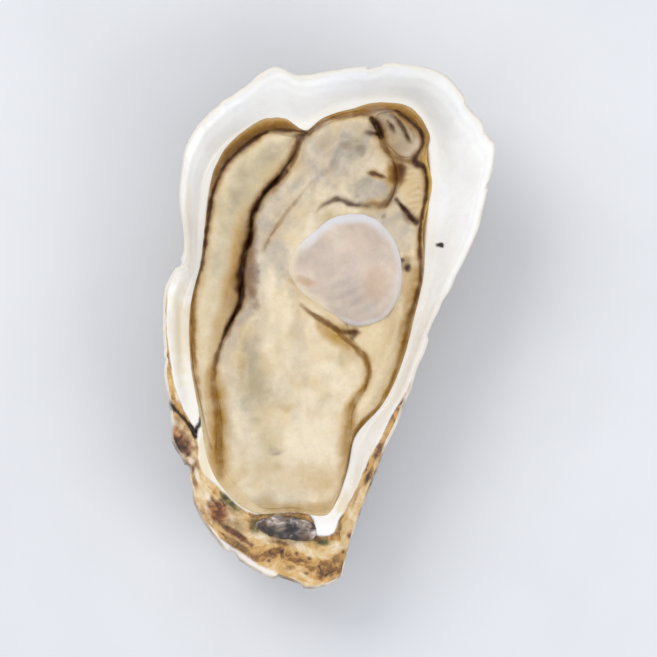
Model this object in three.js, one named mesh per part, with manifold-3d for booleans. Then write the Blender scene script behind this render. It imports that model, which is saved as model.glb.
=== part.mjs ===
// An oyster on the half shell: the cupped valve of a long oyster, opened, with its meat lying in it.
//
// Millimetres, +Z up. +Y runs from the beak (the hinge end) to the lip, and +X is to the right as seen
// from above. The origin is at the middle of the bounding box, on the flat spot that the shell rests on.
//
// Every outline is a smooth closed curve. Its points are written as [across, along, up] in percent of
// half the width, half the length and the whole height, so the oyster is resized by the first three
// dimensions alone.

import * as THREE from "three";
import { mergeVertices } from "three/addons/utils/BufferGeometryUtils.js";
import Module from "manifold-3d";

const wasm = await Module();
wasm.setup();

// Driving dimensions.
const LENGTH = 105; // beak to lip
const WIDTH = 66.6; // across the widest part
const HEIGHT = 27; // flat spot to the highest point of the rim
const CLEARANCE = 0.35; // between neighbouring pieces

// Shell walls.
const EDGE_THICKNESS = 1.1; // the rim's broken edge
const EDGE_BEVEL = 0.6; // how far the edge's top lies inside its foot
const CUP_FLOOR = 3.8; // height of the cup's inside over the surface it rests on
const KEEL = 0.9; // how far the round underside would dip below the flat spot

// Growth flakes on the outside of the shell.
const FLAKES = 11;
const FLAKE_HEIGHT = 1.9; // how far a flake's edge stands off the shell
const FLAKE_STEP = 0.014; // width of the drop behind an edge, as a share of the way to the rim
const PLEATS = 9; // broad folds that fan out to the rim
const PLEAT_HEIGHT = 0.5;
const RIM_SAMPLES = 110;

const [CUP_CENTRE, UMBO] = plan([-12, -10], [-10, -84]); // the cup's deepest point and the oldest shell

// The shell's rim, counterclockwise from the chip in the lip.
const RIM = plan(
  [-18, 96, 92], [-31, 99, 94], [-51, 91, 93], [-72, 81, 92], [-85, 68, 90], [-89, 50, 88],
  [-87, 29, 86], [-98, 15, 80], [-99, 0, 78], [-98, -18, 78], [-96, -29, 77], [-94, -36, 75],
  [-94, -44, 73], [-88, -50, 72], [-83, -58, 71], [-80, -68, 71], [-67, -81, 70], [-44, -92, 69],
  [-11, -99, 68], [7, -95, 70], [12, -83, 74], [22, -65, 80], [35, -45, 85], [46, -29, 88],
  [57, -9, 90], [71, 13, 92], [88, 36, 94], [96, 56, 97], [99, 70, 99], [93, 77, 99],
  [85, 84, 100], [68, 96, 98], [41, 100, 96], [10, 98, 94],
);

// Where the white lip turns down into the cup.
const CUP_MOUTH = plan(
  [-14, 78, 71], [-37, 78, 70], [-60, 70, 70], [-73, 58, 70], [-77, 42, 69], [-80, 22, 69],
  [-87, 4, 68], [-86, -14, 68], [-80, -34, 68], [-75, -52, 67], [-62, -65, 67], [-42, -72, 66],
  [-18, -71, 66], [3, -71, 66], [13, -58, 66], [20, -41, 67], [38, -25, 67], [49, -7, 67],
  [58, 10, 67], [62, 30, 67], [64, 53, 68], [63, 72, 69], [50, 85, 70], [28, 87, 71], [6, 85, 71],
);

// The mantle's frilled margin, which skirts the whole meat.
const MANTLE = plan(
  [-14, 74], [-25, 76], [-38, 75], [-56, 68], [-67, 58], [-72, 43], [-76, 25], [-82, 8], [-82, -12],
  [-77, -30], [-70, -51], [-60, -61], [-44, -69], [-22, -69], [-1, -70], [9, -57], [15, -41],
  [33, -27], [44, -10], [50, 5], [56, 21], [56, 37], [59, 53], [57, 64], [58, 72], [46, 81],
  [30, 83], [8, 81], [-5, 78],
);

// The plump belly with the upper mantle over it. Its right side runs under the muscle.
const BELLY = plan(
  [-14, 73], [-20, 66], [-28, 59], [-39, 52], [-46, 44], [-48, 34], [-51, 22], [-52, 12], [-58, 3],
  [-65, -7], [-69, -19], [-65, -34], [-63, -54], [-53, -62], [-40, -68], [-22, -68], [-3, -69],
  [8, -57], [13, -41], [15, -31], [22, -24], [25, -16], [22, -10], [13, -2], [10, 12], [15, 28],
  [27, 40], [39, 51], [42, 60], [36, 69], [30, 76], [27, 81], [8, 79], [-5, 76],
);

// The cut face of the muscle that held the shell shut.
const MUSCLE = plan(
  [44, 21], [40, 33], [28, 42], [15, 44], [1, 42], [-10, 36], [-20, 30], [-24, 23], [-18, 15],
  [-6, 9], [4, 4], [17, 1], [33, 4], [41, 11],
);

// A lobe of the mantle that curls up at the top right.
const CURL = plan(
  [28, 81], [31, 74], [37, 68], [43, 65], [50, 65], [55, 69], [55.5, 75], [49, 80], [39, 82.6],
);

// The dark pad of ligament in the hinge.
const LIGAMENT = plan([-42, -75], [-34, -79], [-20, -80], [-7, -79], [-8, -75], [-20, -72], [-33, -72]);

// The gills, a long fold between the belly and the left margin: its spine and half its width in mm.
const GILL_SPINE = plan(
  [-19.5, 72.5], [-36, 65], [-49, 56], [-57, 44], [-61, 30], [-64, 16], [-69, 2], [-74, -13], [-73, -30],
  [-69, -46],
);
const GILL_HALF_WIDTH = [2.1, 4.2, 4.4, 4.3, 4.1, 3.9, 3.6, 2.9, 2.2, 1.1];
const GILL_HALF_HEIGHT = 2.4;

// Turns [across, along, up] in percent into points in millimetres.
function plan(...points) {
  return points.map(
    ([across, along, up = 0]) =>
      new THREE.Vector3((across * WIDTH) / 200, (along * LENGTH) / 200, (up * HEIGHT) / 100),
  );
}

// Evenly spaced points on the smooth closed curve through the given ones.
function smoothLoop(points, samples) {
  return new THREE.CatmullRomCurve3(points, true, "centripetal").getSpacedPoints(samples).slice(0, -1);
}

function smoothLine(points, samples) {
  return new THREE.CatmullRomCurve3(points, false, "centripetal").getSpacedPoints(samples - 1);
}

const mix = THREE.MathUtils.lerp;

// The direction from the cup's centre, in radians from +X.
function bearing(point, centre = CUP_CENTRE) {
  return Math.atan2(point.y - centre.y, point.x - centre.x);
}

// 1 straight towards the lip, 0 straight towards the beak.
function lipShare(angle) {
  return 0.5 + 0.5 * Math.sin(angle);
}

// A smooth uneven wave round the shell, from about -1 to 1. Each seed gives another wave.
function ripple(seed, angle) {
  const waves = [1, 2, 3, 5, 8];
  return waves.reduce((sum, n) => sum + Math.sin(n * angle + seed * n * 1.7 + seed * seed), 0) / 2.6;
}

// A repeatable chance value from -1 to 1, for the chips in the rim.
function chance(i) {
  const raw = Math.sin(i * 127.1 + 31.7) * 43758.5453;
  return 2 * (raw - Math.floor(raw)) - 1;
}

// A solid skinned over closed rings of equal length, from a bottom point to a top point.
function ringSolid(bottom, rings, top) {
  const count = rings[0].length;
  const points = [bottom, ...rings.flat(), top];
  const last = points.length - 1;
  const at = (ring, i) => 1 + ring * count + (i % count);
  const faces = [];
  for (let i = 0; i < count; i++) {
    faces.push(0, at(0, i + 1), at(0, i));
    for (let ring = 0; ring + 1 < rings.length; ring++) {
      const [a, b, c, d] = [at(ring, i), at(ring, i + 1), at(ring + 1, i + 1), at(ring + 1, i)];
      faces.push(a, b, c, a, c, d);
    }
    faces.push(at(rings.length - 1, i), at(rings.length - 1, i + 1), last);
  }
  return asSolid(points, faces);
}

function asSolid(points, faces) {
  const geometry = new THREE.BufferGeometry().setFromPoints(points);
  geometry.setIndex(faces);
  const merged = mergeVertices(geometry, 1e-4);
  return new wasm.Manifold(
    new wasm.Mesh({
      numProp: 3,
      vertProperties: merged.attributes.position.array,
      triVerts: new Uint32Array(merged.index.array),
    }),
  );
}

function asGeometry(solid) {
  const { vertProperties, triVerts } = solid.getMesh();
  const geometry = new THREE.BufferGeometry();
  geometry.setAttribute("position", new THREE.BufferAttribute(vertProperties, 3));
  geometry.setIndex(new THREE.BufferAttribute(triVerts, 1));
  geometry.computeVertexNormals();
  return geometry;
}

// Where the ray from the centre at this angle meets a closed loop.
function loopAt(loop, angle, centre = CUP_CENTRE) {
  const ray = { x: Math.cos(angle), y: Math.sin(angle) };
  for (let i = 0; i < loop.length; i++) {
    const [a, b] = [loop[i], loop[(i + 1) % loop.length]];
    const side = (p) => ray.x * (p.y - centre.y) - ray.y * (p.x - centre.x);
    const [sideA, sideB] = [side(a), side(b)];
    const ahead = ray.x * (a.x - centre.x) + ray.y * (a.y - centre.y) > 0;
    if (ahead && sideA <= 0 && sideB > 0) return a.clone().lerp(b, sideA / (sideA - sideB));
  }
  throw new Error("the loop doesn't ring the centre");
}

// The rim in samples, with small chips broken out of it.
function rimLoop() {
  const chipDepth = 0.35;
  return smoothLoop(RIM, RIM_SAMPLES).map((point, i) => {
    const outward = point.clone().sub(CUP_CENTRE).setZ(0).normalize();
    return point.addScaledVector(outward, chipDepth * chance(i));
  });
}

// Height of the shell's round underside, at a share of the way from the cup's centre to the rim.
function undersideHeight(share, rimPoint) {
  const lip = lipShare(bearing(rimPoint));
  const foot = rimPoint.z - EDGE_THICKNESS;
  const roundness = mix(2.1, 2.4, lip);
  const steepness = mix(0.62, 0.95, lip);
  return foot - (foot + KEEL) * (1 - share ** roundness) ** steepness;
}

// A point on the outside of the shell, on the line from the umbo to a point of the rim. raised is its
// height over the plain shell, which dies away towards the rim.
function outsidePoint(rim, rimPoint, growth, raised) {
  const grown = UMBO.clone().lerp(rimPoint, growth).setZ(0);
  const angle = bearing(grown);
  const nearest = loopAt(rim, angle);
  const reach = nearest.clone().setZ(0).distanceTo(CUP_CENTRE);
  const share = Math.min(0.975, grown.distanceTo(CUP_CENTRE) / reach);
  const point = CUP_CENTRE.clone().lerp(nearest, share);
  const fade = Math.min(1, ((1 - share) * reach) / 3.5);
  const pleat = PLEAT_HEIGHT * Math.sin(PLEATS * angle) * share;
  const slope = -1.35 * (1 - share ** 2);
  const outward = new THREE.Vector3(Math.cos(angle), Math.sin(angle), slope).normalize();
  point.z = undersideHeight(share, nearest);
  point.addScaledVector(outward, (raised + pleat) * fade);
  return point.setZ(Math.max(point.z, 0));
}

// Growth flakes fan out from the umbo: each one thickens towards its edge and drops to the next.
function outsideRings(rim) {
  const rings = [0.06, 0.13].map((growth) => rim.map((point) => outsidePoint(rim, point, growth, 0)));
  for (let flake = 1; flake < FLAKES; flake++) {
    const growth = 0.12 + 0.88 * (flake / FLAKES) ** 0.9;
    const ring = (shift, keep) =>
      rim.map((point) => {
        const angle = bearing(point);
        const room = Math.min(1, point.distanceTo(UMBO) / 30);
        const ragged = THREE.MathUtils.clamp(0.7 + 0.45 * ripple(flake + 20, angle), 0.2, 1.2);
        const wander = 0.012 * ripple(flake, angle) * room;
        return outsidePoint(rim, point, growth + wander + shift, keep * FLAKE_HEIGHT * ragged * room);
      });
    rings.push(ring(0, 1), ring(FLAKE_STEP, 0.05));
  }
  rings.push(rim.map((point) => point.clone().setZ(point.z - EDGE_THICKNESS)));
  return rings;
}

// The inside of the shell from its edge down to the cup's floor.
function insideRings(rim, lift) {
  const mouth = smoothLoop(CUP_MOUTH, 240);
  const rings = [];
  const edge = rim.map((point) => {
    const inward = CUP_CENTRE.clone().sub(point).setZ(0).normalize();
    return point.clone().addScaledVector(inward, EDGE_BEVEL);
  });
  const turn = rim.map((point) => loopAt(mouth, bearing(point)));
  for (const along of [0, 0.22, 0.48, 0.76, 1]) {
    rings.push(
      edge.map((point, i) => {
        const flatness = mix(1.9, 1.25, lipShare(bearing(point)));
        const height = mix(point.z, turn[i].z, along ** flatness);
        return point.clone().lerp(turn[i], along).setZ(height + lift);
      }),
    );
  }
  for (const share of [0.94, 0.85, 0.7, 0.5, 0.27]) {
    rings.push(
      turn.map((point) => {
        const depth = (1 - share ** 2.3) ** 0.88;
        return CUP_CENTRE.clone().lerp(point, share).setZ(mix(point.z, CUP_FLOOR, depth) + lift);
      }),
    );
  }
  return rings;
}

function makeShell() {
  const rim = rimLoop();
  const floor = CUP_CENTRE.clone().setZ(CUP_FLOOR);
  const heel = outsidePoint(rim, rim[0], 0, 0);
  return ringSolid(heel, [...outsideRings(rim), ...insideRings(rim, 0)], floor);
}

// All the room above the inside of the shell, less the clearance. The meat is cut to it.
function makeRoom() {
  const rim = rimLoop().filter((_, i) => i % 2 === 0);
  const wide = insideRings(rim, CLEARANCE + 0.1);
  const ceiling = wide[0].map((point) => point.clone().setZ(2 * HEIGHT));
  const floor = CUP_CENTRE.clone().setZ(CUP_FLOOR + CLEARANCE + 0.1);
  const rings = [...wide.reverse(), ceiling];
  return ringSolid(floor, rings, CUP_CENTRE.clone().setZ(2 * HEIGHT));
}

function middleOf(points) {
  const box = new THREE.Box3().setFromPoints(points);
  return box.getCenter(new THREE.Vector3()).setZ(0);
}

// A plump piece of meat inside an outline. edge and crown give the height of its margin and how far its
// middle rises above that. It is deep enough to be cut to the shell below it, unless it has a base.
function pillow(outline, { edge, crown, centre = middleOf(outline), plump = 2.4, base = 0, samples = 56 }) {
  const loop = smoothLoop(outline, samples);
  const at = (share) =>
    loop.map((point) => {
      const p = centre.clone().lerp(point, share);
      const rise = Math.sqrt(1 - share ** plump);
      return p.setZ(edge(p.x, p.y) + crown(p.x, p.y) * rise);
    });
  const foot = loop.map((point) => point.clone().setZ(base));
  const rings = [1, 0.97, 0.9, 0.78, 0.6, 0.38, 0.16].map(at);
  const top = centre.clone().setZ(edge(centre.x, centre.y) + crown(centre.x, centre.y));
  return ringSolid(centre.clone().setZ(base), [foot, ...rings], top);
}

// The room that a piece takes out of its neighbours: its outline, grown by the clearance, from the base up.
function column(outline, { centre = middleOf(outline), base = 0, samples = 56 } = {}) {
  const grown = smoothLoop(outline, samples).map((point) => {
    const away = point.clone().sub(centre).setZ(0);
    return centre.clone().addScaledVector(away, 1 + CLEARANCE / away.length());
  });
  const [bottom, top] = [base - CLEARANCE, 2 * HEIGHT];
  const rings = [bottom, top].map((height) => grown.map((point) => point.clone().setZ(height)));
  return ringSolid(centre.clone().setZ(bottom), rings, centre.clone().setZ(top));
}

// A long fold that follows a spine, as thick as it is wide. As a trench it is grown by the clearance and
// open above.
function fold(spine, halfWidths, crest, trench = false) {
  const steps = 26;
  const around = 18;
  const grow = trench ? CLEARANCE : 0;
  const line = smoothLine(spine, steps);
  const widths = smoothLine(halfWidths.map((half, i) => new THREE.Vector3(i, half, 0)), steps);
  const sections = line.map((point, i) => {
    const ahead = line[Math.min(i + 1, steps - 1)].clone().sub(line[Math.max(i - 1, 0)]);
    const across = new THREE.Vector3(0, 0, 1).cross(ahead).normalize();
    const half = widths[i].y + grow;
    const waist = crest(point) - GILL_HALF_HEIGHT;
    return Array.from({ length: around }, (_, k) => {
      const angle = (2 * Math.PI * k) / around;
      const lift = (GILL_HALF_HEIGHT + grow) * Math.sin(angle);
      const p = point.clone().addScaledVector(across, half * Math.cos(angle));
      return p.setZ(trench && lift > 0.01 ? 2 * HEIGHT : waist + lift);
    });
  });
  const [heel, toe] = [sections[0], sections[steps - 1]].map(
    (section) => new THREE.Box3().setFromPoints(section).getCenter(new THREE.Vector3()),
  );
  return ringSolid(heel, sections, toe);
}

function part(name, solid, color, roughness) {
  const material = new THREE.MeshStandardMaterial({ color, roughness, metalness: 0 });
  const mesh = new THREE.Mesh(asGeometry(solid), material);
  mesh.name = name;
  return mesh;
}

const room = makeRoom();
const bellyCentre = plan([-15, 8])[0];
const mantleCentre = plan([-12, 5])[0];
const curlBase = 17.4;
const gillCrest = (point) => 20.4 + 0.02 * point.y;

const belly = pillow(BELLY, {
  edge: (x, y) => 18.6 + 0.012 * y,
  crown: (x, y) => 3.6 - 0.03 * y - 0.0006 * (y + 12) ** 2,
  centre: bellyCentre,
});
const mantle = pillow(MANTLE, { edge: () => 18.2, crown: () => 1.6, centre: mantleCentre, plump: 8 });
const muscle = pillow(MUSCLE, { edge: (x) => 19.4 - 0.02 * x, crown: () => 1.1, plump: 10, samples: 40 });
const curl = pillow(CURL, { edge: () => 18.6, crown: () => 2.2, base: curlBase, samples: 28 });
const ligament = pillow(LIGAMENT, { edge: () => 18.2, crown: () => 1.3, samples: 24 });

const bellyColumn = column(BELLY, { centre: bellyCentre });
const muscleColumn = column(MUSCLE, { samples: 40 });
const curlColumn = column(CURL, { base: curlBase, samples: 28 });
const ligamentColumn = column(LIGAMENT, { samples: 24 });
const gillFold = fold(GILL_SPINE, GILL_HALF_WIDTH, gillCrest);
const gillTrench = fold(GILL_SPINE, GILL_HALF_WIDTH, gillCrest, true);
const skirt = [bellyColumn, muscleColumn, gillTrench, curlColumn, ligamentColumn].reduce(
  (rest, neighbour) => rest.subtract(neighbour),
  mantle,
);

const group = new THREE.Group();
group.add(
  part("shell", makeShell(), 0xebe6dd, 0.45),
  part("hinge_ligament", ligament.intersect(room), 0x5e5450, 0.35),
  part("adductor_muscle", muscle.intersect(room), 0xd6c5bd, 0.3),
  part("belly", belly.subtract(muscleColumn).subtract(curlColumn).intersect(room), 0xdfd0b4, 0.25),
  part("gill_fold", gillFold.subtract(bellyColumn).intersect(room), 0xd8c4a0, 0.25),
  part("mantle_curl", curl.subtract(muscleColumn).intersect(room), 0xa8906e, 0.25),
  part("mantle", skirt.intersect(room), 0xdac5a0, 0.25),
);

export default group;
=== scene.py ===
"""An oyster on the half shell: a long cupped valve with a white nacre lip and a flaky outside, and the
wet meat that lies in it.

All shapes are worked out in millimetres in the model's frame and turned into metres when a mesh is
made. Outlines are smooth curves whose points are [across, along, up] in percent of half the width,
half the length and the whole height. Creases, stains and painted shade are lines and spots in
millimetres.
"""

import bpy
import numpy as np
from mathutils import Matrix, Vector


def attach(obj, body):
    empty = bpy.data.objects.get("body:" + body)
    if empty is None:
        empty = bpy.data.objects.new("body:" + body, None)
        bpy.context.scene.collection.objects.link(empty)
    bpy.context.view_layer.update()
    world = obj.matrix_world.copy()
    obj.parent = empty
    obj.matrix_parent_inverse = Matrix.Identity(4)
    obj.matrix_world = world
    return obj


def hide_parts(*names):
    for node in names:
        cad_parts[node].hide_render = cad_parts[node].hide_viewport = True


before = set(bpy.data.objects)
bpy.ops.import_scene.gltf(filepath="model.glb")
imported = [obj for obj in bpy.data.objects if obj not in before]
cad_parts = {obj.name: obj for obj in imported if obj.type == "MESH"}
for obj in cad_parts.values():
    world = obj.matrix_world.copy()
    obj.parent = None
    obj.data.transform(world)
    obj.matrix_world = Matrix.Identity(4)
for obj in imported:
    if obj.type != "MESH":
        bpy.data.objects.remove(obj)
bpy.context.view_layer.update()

# Sizes, as in the solid model.
LENGTH, WIDTH, HEIGHT = 105, 66.6, 27
EDGE_THICKNESS, EDGE_BEVEL = 1.1, 0.6
CUP_FLOOR, KEEL, LEDGE = 3.8, 0.9, 2
FLAKES, FLAKE_HEIGHT = 11, 1.9
PLEATS, PLEAT_HEIGHT = 9, 0.5

# Fine forms of the shell: small steps on each flake, the terraces in the tan layers and the low ridges
# along the rim.
STEPS_ON_FLAKE, STEP_HEIGHT, ROWS_ON_FLAKE = 4, 0.38, 17
TERRACE_WIDTH, RIDGE_SPACING = 1.5, 1.9

# Heights at which the pieces of meat meet, how far each one rises over that, and how far the belly
# dips under the muscle and steps up at the flap.
BELLY_EDGE, BELLY_RISE = 18.5, 3.5
MUSCLE_EDGE, MUSCLE_RISE = 19.6, 1.1
CURL_EDGE, CURL_RISE, CURL_FOOT = 18.8, 2.0, 17.4
LIGAMENT_EDGE, LIGAMENT_RISE = 18.2, 1.0
GILL_EDGE, GILL_CREST, GILL_DEPTH = 18.6, 20.0, 1.4
MUSCLE_BED, FLAP_STEP = 1.3, 0.75

# The mantle: how far it dives under other meat, and the spacing of its pleats and ribs.
COVERED_DROP, PLEAT_SPACING, RIB_SPACING = 2.6, 1.15, 1.9


def plan(*points):
    """Points in millimetres from [across, along, up] in percent."""
    return np.array([(*p, 0)[:3] for p in points]) * [WIDTH / 200, LENGTH / 200, HEIGHT / 100]


CENTRE, UMBO = plan([-12, -10], [-10, -84])

RIM = plan(
    [-18, 96, 92], [-31, 99, 94], [-51, 91, 93], [-72, 81, 92], [-85, 68, 90], [-89, 50, 88],
    [-87, 29, 86], [-98, 15, 80], [-99, 0, 78], [-98, -18, 78], [-96, -29, 77], [-94, -36, 75],
    [-94, -44, 73], [-88, -50, 72], [-83, -58, 71], [-80, -68, 71], [-67, -81, 70], [-44, -92, 69],
    [-11, -99, 68], [7, -95, 70], [12, -83, 74], [22, -65, 80], [35, -45, 85], [46, -29, 88],
    [57, -9, 90], [71, 13, 92], [88, 36, 94], [96, 56, 97], [99, 70, 99], [93, 77, 99],
    [85, 84, 100], [68, 96, 98], [41, 100, 96], [10, 98, 94],
)
CUP_MOUTH = plan(
    [-14, 78, 71], [-37, 78, 70], [-60, 70, 70], [-73, 58, 70], [-77, 42, 69], [-80, 22, 69],
    [-87, 4, 68], [-86, -14, 68], [-80, -34, 68], [-75, -52, 67], [-62, -65, 67], [-42, -72, 66],
    [-18, -71, 66], [3, -71, 66], [13, -58, 66], [20, -41, 67], [38, -25, 67], [49, -7, 67],
    [58, 10, 67], [62, 30, 67], [64, 53, 68], [63, 72, 69], [50, 85, 70], [28, 87, 71], [6, 85, 71],
)
MANTLE = plan(
    [-14, 74], [-25, 76], [-38, 75], [-56, 68], [-67, 58], [-72, 43], [-76, 25], [-82, 8],
    [-82, -12], [-77, -30], [-70, -51], [-60, -61], [-44, -69], [-22, -69], [-1, -70], [9, -57],
    [15, -41], [33, -27], [44, -10], [50, 5], [56, 21], [56, 37], [59, 53], [57, 64], [58, 72],
    [46, 81], [30, 83], [8, 81], [-5, 78],
)
BELLY = plan(
    [-14, 73], [-20, 66], [-28, 59], [-39, 52], [-46, 44], [-48, 34], [-51, 22], [-52, 12],
    [-58, 3], [-65, -7], [-69, -19], [-65, -34], [-63, -54], [-53, -62], [-40, -68], [-22, -68],
    [-3, -69], [8, -57], [13, -41], [15, -31], [22, -24], [25, -16], [22, -10], [13, -2], [10, 12],
    [15, 28], [27, 40], [39, 50], [42, 59], [36, 69], [30, 76], [27, 81], [8, 80], [-5, 77],
)
MUSCLE = plan(
    [44, 21], [40, 33], [28, 42], [15, 44], [1, 42], [-10, 36], [-20, 30], [-24, 23], [-18, 15],
    [-6, 9], [4, 4], [17, 1], [33, 4], [41, 11],
)
CURL = plan(
    [28, 81], [31, 74], [37, 68], [43, 65], [50, 65], [55, 69], [55.5, 75], [49, 80], [39, 82.6],
)
LIGAMENT = plan(
    [-42, -74], [-41, -77.5], [-33, -80], [-20, -80.5], [-10, -79.5], [-9, -75], [-20, -71.8],
    [-35, -71.5],
)
GILL_SPINE = plan(
    [-19.5, 72.5], [-36, 65], [-49, 56], [-57, 44], [-61, 30], [-64, 16], [-69, 2], [-74, -13],
    [-73, -30], [-69, -46],
)
GILL_HALF_WIDTH = [2.1, 4.2, 4.4, 4.3, 4.1, 3.8, 3.4, 2.9, 2.2, 1.1]


# ---------------------------------------------------------------- numbers and curves


def mix(a, b, t):
    return a + (b - a) * t


def step(low, high, value):
    """0 below low, 1 above high, and smooth in between. low may be the larger one."""
    t = np.clip((value - low) / (high - low), 0, 1)
    return t * t * (3 - 2 * t)


def noise(points, size, seed=0):
    """Smooth lumps about size across, from -1 to 1."""
    points = np.asarray(points, float) / size
    cell = np.floor(points).astype(np.int64)
    t = points - cell
    t = t * t * (3 - 2 * t)
    total = 0
    for corner in np.ndindex(2, 2, 2):
        x, y, z = np.moveaxis(cell + corner, -1, 0)
        bits = (x * 73856093) ^ (y * 19349663) ^ (z * 83492791) ^ (seed * 2654435761)
        bits = ((bits ^ (bits >> 13)) * 1274126177) & 0xFFFFFFFF
        bits = ((bits ^ (bits >> 15)) * 668265263) & 0xFFFFFFFF
        value = ((bits >> 8) & 0xFFFF) / 32767.5 - 1
        total = total + value * np.prod(np.where(corner, t, 1 - t), axis=-1)
    return total


def rough(points, size, octaves=4, seed=0):
    """Noise of several sizes on each other, each half of the last."""
    return sum(noise(points, size / 2**k, seed + k) / 2**k for k in range(octaves)) / 1.6


def smooth(points, samples, closed=True):
    """Evenly spaced points on the smooth curve through the given ones."""
    points = np.asarray(points, float)
    if closed:
        knots = np.concatenate([points[-1:], points, points[:2]])
    else:
        knots = np.concatenate([2 * points[:1] - points[1:2], points, 2 * points[-1:] - points[-2:-1]])
    dense = []
    for a, b, c, d in zip(knots, knots[1:], knots[2:], knots[3:]):
        gaps = [np.sqrt(np.linalg.norm(q - p)) for p, q in ((a, b), (b, c), (c, d))]
        ta, tb, tc, td = np.cumsum([0, *gaps])
        t = np.linspace(tb, tc, 24, endpoint=False)[:, None]
        ab = mix(a, b, (t - ta) / (tb - ta))
        bc = mix(b, c, (t - tb) / (tc - tb))
        cd = mix(c, d, (t - tc) / (td - tc))
        abc = mix(ab, bc, (t - ta) / (tc - ta))
        bcd = mix(bc, cd, (t - tb) / (td - tb))
        dense.append(mix(abc, bcd, (t - tb) / (tc - tb)))
    dense = np.concatenate([*dense, points[:1] if closed else points[-1:]])
    walked = np.concatenate([[0], np.cumsum(np.linalg.norm(np.diff(dense, axis=0), axis=1))])
    stops = np.linspace(0, walked[-1], samples + closed)[:samples]
    return np.stack([np.interp(stops, walked, dense[:, k]) for k in range(dense.shape[1])], axis=1)


def flat(points):
    return np.asarray(points, float)[..., :2]


def nearest(points, line, closed=False):
    """Distance to a line in plan, how far along it that is from 0 to 1, and which side: 1 is left."""
    line = flat(line)
    if closed:
        line = np.concatenate([line, line[:1]])
    shape = np.shape(points)[:-1]
    places = flat(points).reshape(-1, 2)
    best = np.full(len(places), np.inf)
    along = np.zeros(len(places))
    side = np.ones(len(places))
    for k, (a, b) in enumerate(zip(line, line[1:])):
        run = b - a
        t = np.clip((places - a) @ run / (run @ run), 0, 1)
        gap = places - (a + t[:, None] * run)
        distance = np.hypot(*gap.T)
        closer = distance < best
        best = np.where(closer, distance, best)
        along = np.where(closer, (k + t) / (len(line) - 1), along)
        left = run[0] * gap[:, 1] - run[1] * gap[:, 0] >= 0
        side = np.where(closer, np.where(left, 1.0, -1.0), side)
    return best.reshape(shape), along.reshape(shape), side.reshape(shape)


def depth_in(points, loop):
    """How deep inside a loop a point lies in plan. It is negative outside."""
    distance = nearest(points, loop, closed=True)[0]
    x, y = np.moveaxis(flat(points), -1, 0)
    inside = np.zeros(x.shape, bool)
    for (ax, ay), (bx, by) in zip(flat(loop), np.roll(flat(loop), -1, axis=0)):
        if ay != by:
            inside ^= ((ay > y) != (by > y)) & (x < (bx - ax) * (y - ay) / (by - ay) + ax)
    return np.where(inside, distance, -distance)


def bearing(points, centre=CENTRE):
    """The direction in which each point lies from the centre, in radians."""
    return np.arctan2(points[..., 1] - centre[1], points[..., 0] - centre[0])


def reach(points, centre=CENTRE):
    """The distance of each point from the centre in plan."""
    return np.hypot(points[..., 0] - centre[0], points[..., 1] - centre[1])


def polar(loop):
    """A function that gives the loop's distance from CENTRE, and its height, at any bearing."""
    angles = bearing(loop)
    distances = reach(loop)

    def at(angle):
        found = [np.interp(angle, angles, v, period=2 * np.pi) for v in (distances, loop[:, 2])]
        return found[0], found[1]

    return at


# ---------------------------------------------------------------- the shell's form

COLUMNS = 720


def chipped_rim():
    outline = smooth(RIM, COLUMNS)
    away = flat(outline - CENTRE) / reach(outline)[:, None]
    chips = 0.35 * rough(outline, 4, 4, seed=3) - 0.6 * step(0.3, 0.6, noise(outline, 3.2, seed=4))
    outline[:, :2] += away * chips[:, None]
    outline[:, 2] += 0.25 * rough(outline, 6, 4, seed=6) - 0.25
    return outline


OUTLINE = chipped_rim()
rim_at = polar(OUTLINE)
mouth_at = polar(smooth(CUP_MOUTH, 400))


def lip_share(angle):
    """1 straight towards the lip, 0 straight towards the beak."""
    return 0.5 + 0.5 * np.sin(angle)


def ripple(seed, angle):
    """An uneven wave round the shell."""
    waves = [1, 2, 3, 5, 8]
    return sum(np.sin(n * angle + seed * n * 1.7 + seed * seed) for n in waves) / 2.6


def underside(share, rim_height, angle):
    """Height of the smooth outside at a share of the way from the middle to the rim."""
    lip = lip_share(angle)
    foot = rim_height - EDGE_THICKNESS
    curve = (1 - share ** mix(2.1, 2.4, lip)) ** mix(0.62, 0.95, lip)
    return foot - (foot + KEEL) * curve


def outside_rows():
    """Rows of points over the outside, from the umbo to the rim, and how near each point is to the
    edge of its flake or of a small step on it."""
    angle = bearing(OUTLINE)
    room = np.minimum(1, reach(OUTLINE, UMBO) / 30)
    rows, crests = [], []
    last_edge, last_height = np.zeros(COLUMNS), np.zeros(COLUMNS)
    for flake in range(1, FLAKES + 1):
        if flake < FLAKES:
            edge = 0.12 + 0.88 * (flake / FLAKES) ** 0.9 + 0.012 * ripple(flake, angle) * room
            edge = edge + 0.007 * room * rough(OUTLINE, 4, 3, seed=flake)
            ragged = np.clip(0.7 + 0.45 * ripple(flake + 20, angle), 0.2, 1.2)
            torn = np.clip(0.85 + 0.9 * rough(OUTLINE, 9, 4, seed=40 + flake), 0.15, 1.3)
            height = FLAKE_HEIGHT * ragged * torn * room
        else:
            edge, height = np.ones(COLUMNS), np.zeros(COLUMNS)
        for t in np.linspace(0, 1, ROWS_ON_FLAKE):
            small_step = int(t * STEPS_ON_FLAKE)
            climb = (t * STEPS_ON_FLAKE) % 1 if t < 1 else 1
            broken = np.clip(0.6 + rough(OUTLINE, 5, 3, 90 + flake * 5 + small_step), 0, 1.4)
            grown = mix(last_edge + 0.004, edge, t)
            raised = mix(0.05 * last_height, height, t**1.3) + STEP_HEIGHT * climb * room * broken
            rows.append(outside_points(grown, raised))
            crests.append(np.full(COLUMNS, max(t**3, 0.7 * climb**2)))
        last_edge, last_height = edge, height
    rows[-1] = OUTLINE - [0, 0, EDGE_THICKNESS]
    return rows, crests


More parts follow.
